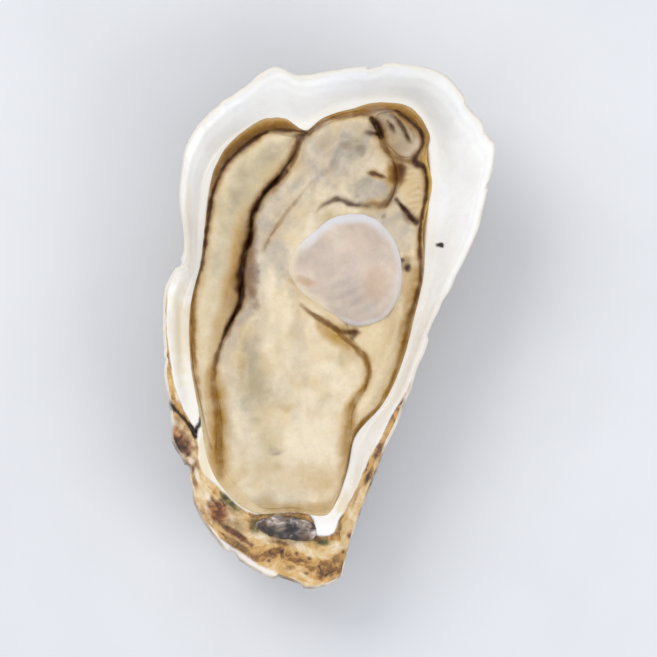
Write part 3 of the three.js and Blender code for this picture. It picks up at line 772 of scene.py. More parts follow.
# Strokes on the meat: mark, depth of the groove, and points as x, y, half width and strength.
STROKES = [
    # The margin between the gills and the belly: black above, brown and then ochre below. Where the brown
    # runs on above the black at the top, it is painted shade in the crease between the gill fold and the
    # belly.
    ("brown", 0.3, [
        (-4.9, 38.9, 0.6, 0.9), (-5.8, 37.3, 0.8, 0.85), (-6.7, 35.2, 0.85, 0.8), (-8, 32.6, 0.85, 0.85),
        (-10.4, 29.7, 0.75, 0.8), (-13.7, 25.7, 0.75, 0.8), (-15.4, 22, 0.75, 0.8), (-16.2, 17.4, 0.8, 0.85),
        (-17.4, 12, 0.9, 0.9), (-17.7, 6, 0.9, 0.9), (-18.8, 2.7, 0.7, 0.95), (-20.4, -0.3, 0.55, 1),
        (-21.5, -3, 0.5, 0.95), (-22.5, -6.3, 0.5, 0.75), (-22.9, -9.5, 0.55, 0.5), (-22.7, -13.4, 0.7, 0.45),
        (-22.2, -17, 0.85, 0.45), (-21.9, -22, 0.9, 0.45), (-21.8, -27, 0.85, 0.4), (-21.6, -29.8, 0.5, 0.15),
    ]),
    ("tan", 0.1, [
        (-22.6, -5.5, 0.5, 0.6), (-22.9, -8.5, 0.7, 1), (-22.6, -12, 0.95, 1), (-22.2, -17, 1.15, 1),
        (-22, -22, 1.15, 1), (-21.9, -27, 1.05, 1), (-21.7, -29.8, 0.7, 0.6),
    ]),
    ("dark", 0.5, [
        (-8.5, 31.4, 0.5, 0.9), (-10.4, 29.5, 0.62, 1), (-12.1, 27.9, 0.6, 1), (-13.5, 26.1, 0.52, 1),
        (-14.4, 24.5, 0.6, 1), (-15.3, 22.6, 0.5, 1), (-15.6, 18.4, 0.72, 1), (-16.8, 15.3, 0.58, 1),
        (-17.3, 12, 0.66, 1), (-17.5, 9, 0.72, 1), (-17.5, 6, 0.7, 1), (-17.9, 4.3, 0.6, 1),
        (-18.9, 2.6, 0.46, 1), (-20.3, -0.2, 0.44, 0.9), (-21.4, -3, 0.38, 0.6), (-22.3, -6, 0.3, 0.25),
        (-22.8, -9, 0.25, 0.05),
    ]),
    # A grey stroke of painted shade on the belly along the dark margin.
    ("grey", 0, [
        (-9.6, 28.4, 0.6, 0.4), (-13.2, 24, 0.8, 0.6), (-14.6, 19, 0.9, 0.75), (-15.7, 13, 1.0, 0.9),
        (-15.9, 7, 1.1, 0.9), (-17, 2.8, 0.9, 0.8), (-19.2, -1.4, 0.9, 0.55), (-20.9, -6.5, 1, 0.4),
    ]),
    # The outer margin of the mantle, from where the two lobes meet down the left side.
    ("brown", -0.12, [
        (-4.2, 39, 0.5, 0.9), (-5.4, 39.4, 0.55, 0.95), (-7.6, 39.6, 0.45, 0.9), (-10.4, 39.9, 0.45, 0.9),
        (-12.3, 39.3, 0.5, 0.95), (-14.3, 38, 0.55, 1), (-16.6, 36.6, 0.55, 1), (-18.4, 35, 0.6, 1),
        (-20.5, 32.9, 0.6, 1), (-22.3, 29.3, 0.55, 1), (-23.4, 26, 0.55, 1), (-24.2, 20.5, 0.5, 1),
        (-24.8, 16, 0.5, 0.95), (-25.5, 12, 0.52, 0.75), (-26.6, 8.6, 0.5, 0.55), (-27, 4, 0.5, 0.55),
        (-27, 0, 0.5, 0.6), (-26.9, -4, 0.5, 0.5), (-26.4, -9, 0.42, 0.35), (-25.7, -14, 0.35, 0.2),
        (-24.9, -19, 0.3, 0.12),
    ]),
    ("dark", 0, [
        (-4.6, 39, 0.4, 0.8), (-5.6, 39.3, 0.4, 0.85), (-8, 39.6, 0.3, 0.55), (-12, 39.4, 0.34, 0.7),
        (-16.4, 36.7, 0.4, 0.8), (-20.4, 32.9, 0.4, 0.8), (-22.4, 29, 0.4, 0.75), (-23.5, 25.6, 0.38, 0.8),
        (-24.2, 20.5, 0.36, 0.7), (-24.7, 16, 0.32, 0.5), (-25.4, 12, 0.28, 0.3), (-26.6, 9, 0.25, 0.1),
    ]),
    ("tan", 0, [
        (-25, 14, 0.5, 0.6), (-26.8, 8.6, 0.55, 0.9), (-27.2, 4, 0.55, 1), (-27.2, 0, 0.55, 1),
        (-27.1, -4, 0.5, 1), (-26.6, -9, 0.45, 0.8), (-25.9, -14, 0.4, 0.5), (-25, -19, 0.35, 0.3),
        (-24.3, -24, 0.3, 0.2), (-23.4, -28.6, 0.3, 0.15),
    ]),
    # The outer margin over the top and down the right side.
    ("brown", -0.12, [
        (-4.2, 38.8, 0.5, 0.85), (-2.6, 40.3, 0.5, 0.75), (-0.6, 41.5, 0.5, 0.7), (1.6, 42.1, 0.5, 0.75),
        (4.5, 42.5, 0.5, 0.7), (7.8, 43, 0.6, 0.85), (10, 43.5, 0.4, 0.6), (11.7, 43.8, 0.35, 0.5),
        (13.4, 43.5, 0.45, 0.8), (15.6, 41.9, 0.6, 1), (17.3, 40.5, 0.6, 1), (18.6, 38.9, 0.6, 1),
        (18.9, 36.8, 0.55, 1), (17.8, 34.9, 0.6, 1), (17.3, 33.5, 0.65, 1), (18.9, 32.5, 0.5, 1),
        (19.6, 30, 0.55, 1), (19.5, 26.5, 0.6, 0.95), (18.8, 23.2, 0.65, 0.95), (18.3, 19.2, 0.6, 1),
        (18.2, 15, 0.6, 0.95), (18.5, 10.9, 0.6, 0.9), (17.4, 5.9, 0.55, 0.85), (16.2, 2.3, 0.5, 0.65),
        (15, -3.2, 0.42, 0.4), (12.7, -10.2, 0.36, 0.2), (10.1, -15.4, 0.36, 0.2), (6.8, -18.8, 0.42, 0.45),
        (5.2, -21.1, 0.4, 0.4), (4.6, -23.3, 0.4, 0.3), (4.1, -26, 0.4, 0.1),
    ]),
    ("tan", 0, [
        (18.3, 14, 0.9, 0.7), (17.5, 5.9, 0.9, 0.9), (16, 2.3, 0.8, 0.9), (15.1, -3, 0.6, 1),
        (12.9, -10, 0.35, 1), (10.4, -15.2, 0.35, 1), (7.4, -18.6, 0.4, 1), (5.6, -20.9, 0.45, 1),
        (4.9, -23.1, 0.7, 0.9), (4, -27, 0.6, 0.8), (3, -31, 0.6, 0.7),
    ]),
    ("dark", 0, [
        (13.4, 43.5, 0.3, 0.5), (15.6, 41.9, 0.4, 0.85), (17.3, 40.5, 0.4, 0.85), (18.6, 38.9, 0.42, 0.9),
        (18.9, 36.8, 0.4, 0.85), (17.7, 34.8, 0.45, 0.9), (17.1, 33.3, 0.6, 1), (18.9, 32.5, 0.4, 0.9),
        (19.6, 30, 0.4, 0.9), (19.5, 26.5, 0.35, 0.7), (18.8, 23.2, 0.35, 0.6), (18.3, 19, 0.3, 0.55),
        (18.4, 12, 0.32, 0.4), (17.3, 5.8, 0.3, 0.3), (15.8, 2, 0.28, 0.2), (15, -3, 0.22, 0.05),
    ]),
    ("tan", 0, [
        (-4.2, 39, 0.4, 0.9), (-2.6, 40.8, 0.4, 1), (-0.8, 42.1, 0.4, 1), (1.6, 42.7, 0.4, 1),
        (4.5, 43.1, 0.4, 1), (7.6, 43.5, 0.4, 1), (10, 43.8, 0.3, 0.9),
    ]),
    ("tan", 0, [
        (19.2, 37.6, 0.25, 0.8), (18.8, 35.8, 0.35, 1), (18.5, 34.4, 0.35, 1), (19.6, 33, 0.25, 0.8),
    ]),
    # Round the curled lobe.
    ("dark", 0.9, [(8.6, 42, 0.45, 0.9), (9.6, 40.6, 0.8, 1), (10.2, 39.4, 0.75, 1), (10.6, 38.3, 0.5, 0.9)]),
    ("dark", 0.3, [(7.6, 39.2, 0.4, 0.3), (8.7, 39, 0.5, 0.75), (9.8, 38.8, 0.5, 0.9)]),
    ("brown", 0.4, [
        (10.3, 38.5, 0.7, 0.95), (11, 36.9, 0.75, 0.9), (11.9, 35.3, 0.75, 0.95), (13.4, 34, 0.75, 0.95),
        (15.6, 33.4, 0.65, 0.95), (17, 33.3, 0.5, 0.95),
    ]),
    ("green", 0.3, [
        (12.6, 42.5, 0.3, 0.5), (13.9, 41.4, 0.36, 0.9), (15, 39.7, 0.36, 0.9), (15.7, 38.2, 0.34, 0.8),
        (16.3, 37.2, 0.3, 0.4),
    ]),
    ("green", 0.2, [(11.9, 41.1, 0.35, 0.6), (12.4, 40.3, 0.35, 0.8), (12.9, 39.3, 0.3, 0.4)]),
    ("green", 0.2, [(15.2, 41.3, 0.25, 0.3), (16.5, 39.6, 0.25, 0.5), (17.3, 38, 0.25, 0.2)]),
    ("dark", 0.25, [
        (12.8, 42.7, 0.16, 0.2), (14, 41.3, 0.2, 0.45), (15, 39.8, 0.22, 0.55), (15.8, 38.2, 0.2, 0.4),
        (16.4, 37, 0.16, 0.1),
    ]),
    ("dark", 0.2, [(11.7, 41.4, 0.16, 0.3), (12.5, 40.4, 0.2, 0.45), (13.1, 39.2, 0.16, 0.2)]),
    ("brown", 0, [
        (13.7, 29.2, 0.5, 0.7), (13.8, 30.6, 0.9, 0.9), (13.7, 32.2, 0.9, 0.9), (13.2, 33.2, 0.5, 0.7),
    ]),
    # The edge of the flap over the muscle, drawn as a painted shadow line under it, dark and then brown, and
    # the marks on the flap.
    ("dark", 0.3, [
        (-2.4, 23.2, 0.3, 0.1), (-1.4, 24.3, 0.35, 0.25), (0.2, 25.2, 0.36, 0.5), (1.6, 25.7, 0.36, 0.65),
        (3, 25.4, 0.34, 0.55), (4.1, 24.8, 0.34, 0.6), (6.6, 24.5, 0.34, 0.55), (8.2, 24.4, 0.3, 0.2),
    ]),
    ("brown", 0.3, [
        (7.6, 24.5, 0.6, 0.55), (9.4, 24.5, 0.8, 0.5), (11, 24.6, 0.7, 0.7), (12.4, 26, 0.6, 0.7),
        (13.3, 27.8, 0.55, 0.6), (13.6, 29.6, 0.6, 0.6),
    ]),
    ("brown", 0.3, [
        (7.9, 31, 0.35, 0.4), (8.8, 30.9, 0.45, 0.8), (10.2, 30.5, 0.45, 0.85), (11.5, 30, 0.4, 0.5),
    ]),
    ("dark", 0.1, [(8.4, 31, 0.25, 0.3), (9.6, 30.7, 0.3, 0.45), (10.8, 30.3, 0.25, 0.3)]),
    ("dark", 0.5, [
        (13.5, 25.8, 0.3, 0.6), (14.6, 24.5, 0.42, 1), (15.8, 23.1, 0.5, 1), (17, 21.7, 0.58, 1),
        (17.6, 21, 0.4, 0.6),
    ]),
    ("grey", 0.35, [
        (5.6, 37.2, 0.5, 0.7), (3.2, 36.3, 0.7, 0.8), (1.4, 33.6, 0.7, 0.9), (-0.6, 31.4, 0.8, 0.8),
        (-3.8, 28, 0.7, 0.6), (-6.6, 25, 0.6, 0.6),
    ]),
    ("grey", 0.3, [
        (2.2, 38.6, 0.7, 0.5), (-1.4, 34.8, 0.9, 0.6), (-4.8, 30.2, 0.9, 0.6), (-9.4, 25.4, 0.8, 0.5),
    ]),
    ("brown", 0.25, [
        (-5.2, 26.8, 0.35, 0.1), (-6.6, 25.2, 0.4, 0.3), (-8.2, 23.3, 0.4, 0.4), (-10.1, 20.5, 0.4, 0.4),
        (-11.8, 18, 0.45, 0.4), (-12.9, 15.6, 0.4, 0.15),
    ]),
    ("grey", 0.25, [
        (-12.9, 16, 0.6, 0.5), (-13.5, 9, 0.7, 0.4), (-13.6, 3, 0.8, 0.35), (-14.6, -3, 0.8, 0.3),
    ]),
    # The cleft under the muscle, and the right edge of the belly.
    ("brown", 0.35, [
        (-5.6, 4.7, 0.4, 0.2), (-3.4, 3, 0.45, 0.7), (-0.6, 1.2, 0.5, 0.9), (2.6, -0.6, 0.5, 0.95),
        (5.2, -0.8, 0.6, 0.9), (6.2, -0.9, 0.4, 0.4),
    ]),
    ("tan", 0.2, [(-1.4, 0.6, 0.8, 0.8), (1.4, -1.2, 1.2, 1), (4, -3.2, 0.9, 0.9)]),
    ("brown", 0.25, [
        (2.4, -1.2, 0.5, 0.6), (4.4, -3, 0.6, 0.75), (6.9, -5.3, 0.6, 0.5), (8.2, -8.4, 0.6, 0.35),
        (7.4, -11.4, 0.6, 0.3), (5, -14.6, 0.6, 0.25), (4.1, -19, 0.6, 0.2), (3.7, -22.5, 0.6, 0.15),
        (3.1, -26.7, 0.6, 0.1),
    ]),
    ("tan", 0.1, [
        (4.4, -3, 0.6, 0.8), (6.9, -5.3, 0.5, 0.9), (8.1, -8.4, 0.45, 1), (7.3, -11.4, 0.45, 1),
        (4.9, -14.6, 0.6, 1), (4.0, -19, 0.8, 0.9), (3.6, -22.5, 0.8, 0.8), (3.0, -26.7, 0.7, 0.6),
        (2.5, -31, 0.6, 0.4),
    ]),
    ("dark", 0.1, [(4.4, -0.9, 0.35, 0.3), (5.4, -0.7, 0.4, 0.6), (4.7, -2, 0.35, 0.3)]),
    ("tan", 0.1, [
        (2.6, -31, 0.7, 0.4), (1.4, -34.4, 0.7, 0.4), (-1.2, -36, 0.8, 0.5), (-6, -36, 0.8, 0.65),
        (-11, -35.9, 0.8, 0.5), (-15.2, -34.8, 0.8, 0.25), (-19.4, -31.4, 0.8, 0.2),
    ]),
]
# Spots: mark, x, y, half width, half length, turn and strength.
SPOTS = [
    # Greenish grey down the left of the belly: a greenish tint with painted shade on that side.
    ("green", -15.8, -3, 2.2, 7, 0, 0.28),
    ("green", -15.0, -12.5, 3.6, 10, 0, 0.42),
    ("grey", -15.6, -5, 1.9, 6, 0, 0.4),
    ("green", -13.6, -24, 4.2, 8, -15, 0.22),
    ("tan", -17.4, -7, 1.1, 3, 0, 0.3),
    ("grey", -10.6, -24.6, 1.7, 0.9, 0, 0.5),
    ("dark", -10.4, -25, 0.9, 0.35, 10, 0.15),
    ("tan", -8.4, -16, 1.2, 1, 0, 0.25),
    ("tan", -4, -30, 9, 4, 0, 0.2),
    ("tan", -6.8, 9.4, 2.6, 1.0, -20, 0.4),
    # Painted shade on the belly beside the dark margin, in grey, tan and brown.
    ("grey", -15.4, 11.5, 2.3, 11, 4, 1.0),
    ("tan", -15.7, 11.5, 1.5, 10, 4, 0.3),
    ("brown", -15.8, 11, 1.8, 10, 4, 0.48),
    ("grey", -11.4, 17.5, 3.4, 12, 22, 0.65),
    ("grey", 0, 34, 9.5, 8, -20, 0.6),
    ("grey", 9, 27.5, 5.4, 4.4, 0, 0.85),
    ("green", 6, 29, 4, 3, 0, 0.25),
    ("grey", 4, 39.5, 5, 2, 10, 0.5),
    ("grey", -10, 24, 3, 6, 30, 0.5),
    ("grey", 12, 42.8, 4.5, 1.1, -15, 0.9),
    ("dark", 3.3, 36.5, 1.5, 0.9, 0, 0.17),
    ("dark", 6.4, 35.6, 1.0, 1.6, 10, 0.26),
    ("dark", 1.1, 32.8, 1.1, 1.6, -20, 0.17),
    ("dark", -0.6, 31.2, 1.2, 1.0, 30, 0.15),
    ("grey", 13.4, 20, 4.4, 5.4, 0, 0.65),
    ("grey", 9, 22.8, 3, 1.4, 0, 0.5),
    ("dark", 11, 22.4, 0.7, 0.5, 30, 0.3),
    ("brown", 13.8, 31.4, 2.0, 3.0, 0, 1.0),
    ("tan", 13.4, 31, 2.6, 3.6, 0, 1.0),
    ("brown", 14.5, 31.2, 0.9, 2.4, 0, 1.0),
    ("dark", 14.5, 31.8, 0.7, 1.5, 0, 0.4),
    # Painted shadow under the flap's edge.
    ("tan", 9.5, 25, 2.2, 1.0, 0, 0.6),
    ("brown", 10.3, 24.7, 1.2, 0.7, 0, 0.5),
    ("dark", 14.7, 13.7, 0.6, 0.6, 0, 0.75),
    ("dark", 15.8, 12.1, 0.9, 1.0, 0, 0.9),
    ("brown", 15.4, 13, 1.6, 1.8, 0, 0.45),
    ("tan", 15.8, 8, 1.4, 9, 0, 0.45),
    ("tan", 13, 1, 2.6, 7, 15, 0.22),
    ("dark", 17.3, 33.2, 0.9, 0.8, 0, 0.85),
    ("grey", 16.4, 29, 2.4, 4, 0, 0.3),
    ("dark", 17.6, 21.2, 0.9, 0.7, 45, 0.8),
    # Painted shade in the hollow where the tip of the gill fold meets the belly and the margin.
    ("brown", -5.6, 38.4, 1.4, 1.2, 0, 0.8),
    ("dark", -5.3, 38.7, 0.8, 0.6, 0, 0.6),
]


def stroke(points, track):
    """How strongly a soft ragged stroke covers each point: in its core, and in the halo round it."""
    track = smooth(track, 5 * len(track), closed=False)
    margin = 3 * track[:, 2].max() + 0.6
    low, high = track[:, :2].min(0) - margin, track[:, :2].max(0) + margin
    near = ((flat(points) > low) & (flat(points) < high)).all(axis=1)
    core, halo = np.zeros(len(points)), np.zeros(len(points))
    if near.any():
        gap, along, _ = nearest(points[near], track)
        stops = np.linspace(0, 1, len(track))
        width, strength = (np.interp(along, stops, track[:, k]) for k in (2, 3))
        level = points[near] * [1, 1, 0]
        width = width * (1 + 0.4 * rough(level, 3, 2, seed=23))
        strength = strength * np.clip(0.95 + 0.5 * rough(level, 2.2, 3, seed=26), 0.4, 1)
        gap = (gap + 0.22 * rough(level, 1.3, 3, seed=21)) / width
        core[near] = strength * step(1.35, 0.25, gap)
        halo[near] = strength * step(2.9, 0.3, gap)
    return core, halo


def soft_spot(points, x, y, across, along, turn=0, raggedness=0.35):
    """1 in the middle of an oval spot, fading to 0 at its ragged edge."""
    c, s = np.cos(np.radians(turn)), np.sin(np.radians(turn))
    dx, dy = points[..., 0] - x, points[..., 1] - y
    out = np.hypot((c * dx + s * dy) / across, (c * dy - s * dx) / along)
    near = out < 1.6
    out[near] += raggedness * rough(points[near], 1.4, 3, seed=22)
    return step(1.2, 0.3, out)


def deepen(marks, mark, value):
    """Raises a mark to the value where it is lower."""
    marks[mark] = np.maximum(marks[mark], value)


def paint_meat(points, marks):
    """Cuts the strokes' grooves into the points and adds the strokes' and spots' colours to the marks."""
    points = points.copy()
    for mark, depth, track in STROKES:
        core, halo = stroke(points, track)
        points[:, 2] -= depth * core
        if mark in HALO:
            deepen(marks, mark, core)
            softer, share = HALO[mark]
            deepen(marks, softer, share * halo)
        else:
            deepen(marks, mark, halo)
    for mark, *spot, strength in SPOTS:
        deepen(marks, mark, strength * soft_spot(points, *spot))
    return points


def blank(points):
    """A mark of 0 everywhere for each tint of the flesh."""
    return {mark: np.zeros(len(points)) for mark in MARKS}


def dome(outline, samples, rings, centre, edge, crown, plump, base=None, shoulder=0.5):
    """A plump piece over an outline. edge and crown are functions of the points: the height it would
    have at its outline, and how much higher its middle is. It stands on the shell, or on a flat base."""
    loop = smooth(outline, samples)
    loop[:, 2] = 0
    middle = np.array([*centre[:2], 0])
    rows = []
    for share in 1 - np.linspace(0, 1, rings, endpoint=False) ** 1.6:
        row = mix(middle, loop, share)
        row[:, 2] = edge(row) + crown(row) * (1 - share**plump) ** shoulder
        rows.append(row)
    foot = rows[0].copy()
    foot[:, 2] = np.minimum(foot[:, 2] - 0.4, floor_height(foot) + 0.3) if base is None else base
    skirt = [mix(foot, rows[0], t) for t in (0, 0.35, 0.7)]
    top = middle.copy()
    top[2] = (edge(middle[None]) + crown(middle[None]))[0]
    low = middle.copy()
    low[2] = foot[:, 2].min()
    return skin([*skirt, *rows], low, top)


def middle_of(outline):
    loop = flat(outline)
    return np.append((loop.min(0) + loop.max(0)) / 2, 0)


def even(height):
    """A height that is the same at every point."""
    return lambda points: np.full(len(points), height)


# The edge of the meat that laps over the top of the muscle.
FLAP = [
    (-2.6, 22.6), (-1.5, 24.4), (0.6, 25.3), (3, 25.4), (4.4, 24.7), (7, 24.4), (9, 24.3), (11, 24.4),
    (12.5, 26), (13.3, 27.8), (13.8, 30.5), (12.6, 33.5), (11, 36), (4, 36), (-3, 30),
]
# The pleated corner of the mantle right of it.
CORNER = [(15.6, 32.6), (13.9, 28.6), (13.9, 26.4), (17.3, 22.2), (18.9, 25.2), (18.9, 32.6)]


def belly():
    """The plump body. It dips under the muscle, and its flap laps over the muscle's top."""
    points, faces = dome(
        BELLY, 560, 150, plan([-15, 8])[0],
        lambda p: BELLY_EDGE + 0.012 * p[:, 1],
        lambda p: BELLY_RISE - 0.02 * p[:, 1] - 0.0006 * (p[:, 1] + 12) ** 2,
        2.4,
        shoulder=mix(0.64, 1.1, step(-18, -32, smooth(BELLY, 560)[:, 1])),
    )
    marks = blank(points)
    top = points[:, 2] > BELLY_EDGE - 1
    muscle_depth = depth_in(points, smooth(MUSCLE, 120))
    pressed = np.minimum(points[:, 2], BELLY_EDGE + 2)
    points[:, 2] = mix(points[:, 2], pressed, step(-6.5, -0.4, muscle_depth) * top)
    points[:, 2] -= MUSCLE_BED * step(-0.1, 1.5, muscle_depth) * top
    flap_depth = depth_in(points, smooth(FLAP, 90))
    points[:, 2] += FLAP_STEP * step(-0.3, 1.3, flap_depth) * step(6, 2, flap_depth) * top

    slanted = points @ np.array([[0.83, 0.2, 0], [-0.55, 0.3, 0], [0, 0, 0]])
    upper = step(14, 28, points[:, 1])
    rolls = 0.3 * rough(points * [1, 0.6, 0], 8, 2, seed=30)
    rolls += 0.2 * rough(points * [1, 0.4, 0], 4, 3, seed=31)
    fine = 0.07 * rough(points * [1, 1, 0], 1.6, 3, seed=32)
    rolls += fine + 0.35 * rough(slanted, 2.6, 3, seed=33) * upper
    points[:, 2] += rolls * top
    points = paint_meat(points, marks)

    deepen(marks, "grey", 0.75 * step(-0.1, 0.6, rough(slanted, 3, 3, seed=34)) * upper)
    deepen(marks, "grey", 0.22 * step(0.15, 0.7, rough(points * [1, 0.5, 0], 6, 3, seed=35)))
    deepen(marks, "green", 0.25 * step(0.15, 0.7, rough(points * [1, 0.5, 0], 5, 3, seed=36)))
    deepen(marks, "tan", 0.14 * step(0.1, 0.8, rough(points * [1, 0.6, 0], 3.4, 3, seed=37)))
    deepen(marks, "tan", 0.25 * step(-1.8, -0.2, muscle_depth) * step(14, 4, points[:, 1]))
    right_top = step(4, 9, points[:, 0]) * step(24, 30, points[:, 1])
    deepen(marks, "brown", 0.5 * step(0.9, 0.1, depth_in(points, smooth(BELLY, 160))) * right_top)
    piece = make_mesh("belly_meat", points, faces, marks, flesh("belly_flesh"))
    return dress(piece, "belly")


# How far the ochre film reaches over the shell, at spots round the margin: x, y and width.
FILM = [
    (14.9, -3, 0.6), (17.2, 4.5, 0.7), (18.5, 12, 0.55), (18.3, 20, 0.4), (18.8, 23.5, 1.2),
    (19.4, 26.5, 1.7), (19.6, 30, 1.6), (19.2, 33, 1.5), (19.3, 37, 1.6), (18, 41, 1.8),
    (14, 43.6, 1.9), (10, 43.7, 1.7), (5, 43.2, 1.2), (0, 42.3, 0.9),
    (-4, 39.2, 0.6), (-6.5, 39.5, 1.3), (-8.6, 39.8, 2), (-12, 39.5, 2.3), (-16, 37, 2.1), (-20, 33.2, 1.8),
    (-22.6, 29, 1.2), (-23.8, 24, 0.8), (-24.6, 18, 0.5), (-25.5, 12, 0.3), (-27, 0, 0.3), (-25, -19, 0.4),
    (-22.4, -29.5, 0.9), (-17, -35, 0.9), (-9, -36.8, 0.5), (0, -36.5, 0.5), (3.6, -28, 0.4),
    (5, -22, 0.35), (12.4, -10, 0.5),
]


def film_width(angle):
    """How far the film reaches out from the margin, by bearing."""
    table = np.array(FILM)
    return np.interp(angle, bearing(table), table[:, 2], period=2 * np.pi)


def mantle_rows(margin, middle):
    """Rows of points from the underside over the film's edge to the margin, and on over the flesh."""
    angle = bearing(margin)
    heading = np.stack([np.cos(angle), np.sin(angle)], axis=1)
    film = film_width(angle) * (1 + 0.2 * rough(margin, 4, 3, seed=51))
    rows = []
    for t in np.linspace(1, 0, 12, endpoint=False):
        row = margin.copy()
        row[:, :2] += heading * (film * t)[:, None]
        row[:, 2] = floor_height(row) + np.minimum(0.35, 0.3 * film) * (1.1 - 1.35 * t**2.2)
        rows.append(row)
    _, mouth_height = mouth_at(angle)
    rise = mix(0.75, 1.1, lip_share(angle))
    for share in 1 - np.linspace(0, 1, 90, endpoint=False) ** 1.35 * 0.8:
        row = mix(middle, margin, share)
        row[:, 2] = mouth_height + 0.05 + rise * (1 - share**5) ** 0.75
        rows.append(row)
    foot = rows[0].copy()
    foot[:, 2] = floor_height(foot) - 0.25
    under = mix(middle, margin, 0.9)
    under[:, 2] = floor_height(under) + 0.2
    return [under, foot, *rows]


def covered(points):
    """1 where other meat lies on the mantle, fading to 0 round that."""
    hidden = np.zeros(len(points))
    for loop, start in ((BELLY, 0), (MUSCLE, 0.4), (CURL, 0)):
        hidden = np.maximum(hidden, step(start, 1.4, depth_in(points, smooth(loop, 120))))
    spine = smooth(GILL_SPINE, 100, closed=False)
    stops = np.linspace(0, 1, len(spine))
    gap, along, side = nearest(points, spine)
    inner, outer = (np.interp(along, stops, half) for half in gill_reach(spine))
    spread = mix(1.4, 0.3, step(0.55, 0.75, along))
    by_gills = step(spread, spread - 1.1, gap - np.where(side > 0, inner, outer))
    return np.maximum(hidden, by_gills * step(1.0, 0.78, along))


def mantle():
    """The skirt round the meat: an ochre film on the nacre, and the flesh inside the dark margin."""
    margin = smooth(MANTLE, 720)
    middle = plan([-12, 5])[0]
    points, faces = skin(mantle_rows(margin, middle), middle + [0, 0, 6], middle + [0, 0, 17])
    marks = blank(points)
    top = np.arange(len(points)) >= 3 * len(margin)
    points[:, 2] -= COVERED_DROP * covered(points) * top
    lowest = mouth_at(bearing(points))[1] - 0.2
    points[:, 2] = np.where(top, np.maximum(points[:, 2], lowest), points[:, 2])

    corner = depth_in(points, CORNER)
    level = points * [1, 1, 0]
    wave = (points[:, 1] - 0.25 * points[:, 0]) * 2 * np.pi / PLEAT_SPACING
    wave += 2.6 * rough(level, 2.4, 3, seed=53)
    uneven = step(-0.5, 0.5, rough(level, 3, 2, seed=55))
    points[:, 2] += (step(-0.2, 0.5, corner) * (0.09 * uneven * np.sin(wave) - 0.4)) * top
    inside = depth_in(points, smooth(MANTLE, 240))
    ribs = 0.1 * np.sin(inside * 2 * np.pi / RIB_SPACING + 2 * rough(points, 6, 2, seed=54))
    right_band = step(10, 13, points[:, 0] + 0.3 * np.abs(points[:, 1])) * step(18, 10, points[:, 1])
    points[:, 2] += (0.22 * rough(points * [1, 0.4, 0], 2.6, 3, seed=52) + ribs * right_band) * top
    points = paint_meat(points, marks)

    marks["grey"] *= 1 - step(0, 0.6, corner)
    deepen(marks, "tan", step(0, 0.6, corner) * (0.12 + (0.15 + 0.15 * np.sin(wave)) * uneven))
    strong = film_width(bearing(points)) / 2
    edge = step(-2 * strong - 0.1, -2 * strong + 0.9, inside)
    outside = step(0.4, 0.0, inside)
    upper = step(-24, -12, points[:, 1])
    right = step(10, 18, points[:, 0]) * step(38, 32, points[:, 1]) * step(14, 22, points[:, 1])
    marks["yellow"] = outside * right
    tanned = mix(0.4, 1, np.clip(strong, 0, 1)) * mix(0.6, 1, edge) * mix(0.15, 1, upper)
    deepen(marks, "tan", outside * tanned * (1 - 0.6 * right))
    left = step(0, -8, points[:, 0])
    inner_film = step(0.45, 0.1, inside) * step(-1.8, -0.5, inside) * np.clip(strong, 0, 1) * upper
    deepen(marks, "brown", inner_film * mix(0.3, 0.75, left))
    deepen(marks, "tan", mix(0.2, 0.45, step(-20, -8, points[:, 1])) * step(2.2, 0.4, inside))
    above_shell = np.maximum(points[:, 2], floor_height(points) + 0.25 * edge)
    points[:, 2] = np.where(top, above_shell, points[:, 2])
    material = flesh("mantle_flesh", "#e4d3b2", "#d7c199", tan="#a1741a", yellow="#e2b75e")
    piece = make_mesh("mantle_skirt", points, faces, marks, material)
    return dress(piece, "mantle")


def gill_reach(spine):
    """How far the gill fold reaches from its spine, towards the belly and towards the margin."""
    along = np.linspace(0, 1, len(spine))
    tip = np.sqrt(np.clip(1 - (1 - np.clip(along / 0.05, 0, 1)) ** 2, 0.2, 1))
    tail = np.sqrt(np.clip(1 - (1 - np.clip((1 - along) / 0.25, 0, 1)) ** 2, 0.01, 1))
    inner = np.interp(along, np.linspace(0, 1, 10), GILL_HALF_WIDTH)
    outer = np.maximum(depth_in(spine, smooth(MANTLE, 240)) - 0.2, 0.5)
    return inner * tip * mix(0.3, 1, tail), outer * tip * mix(0.3, 1, tail)


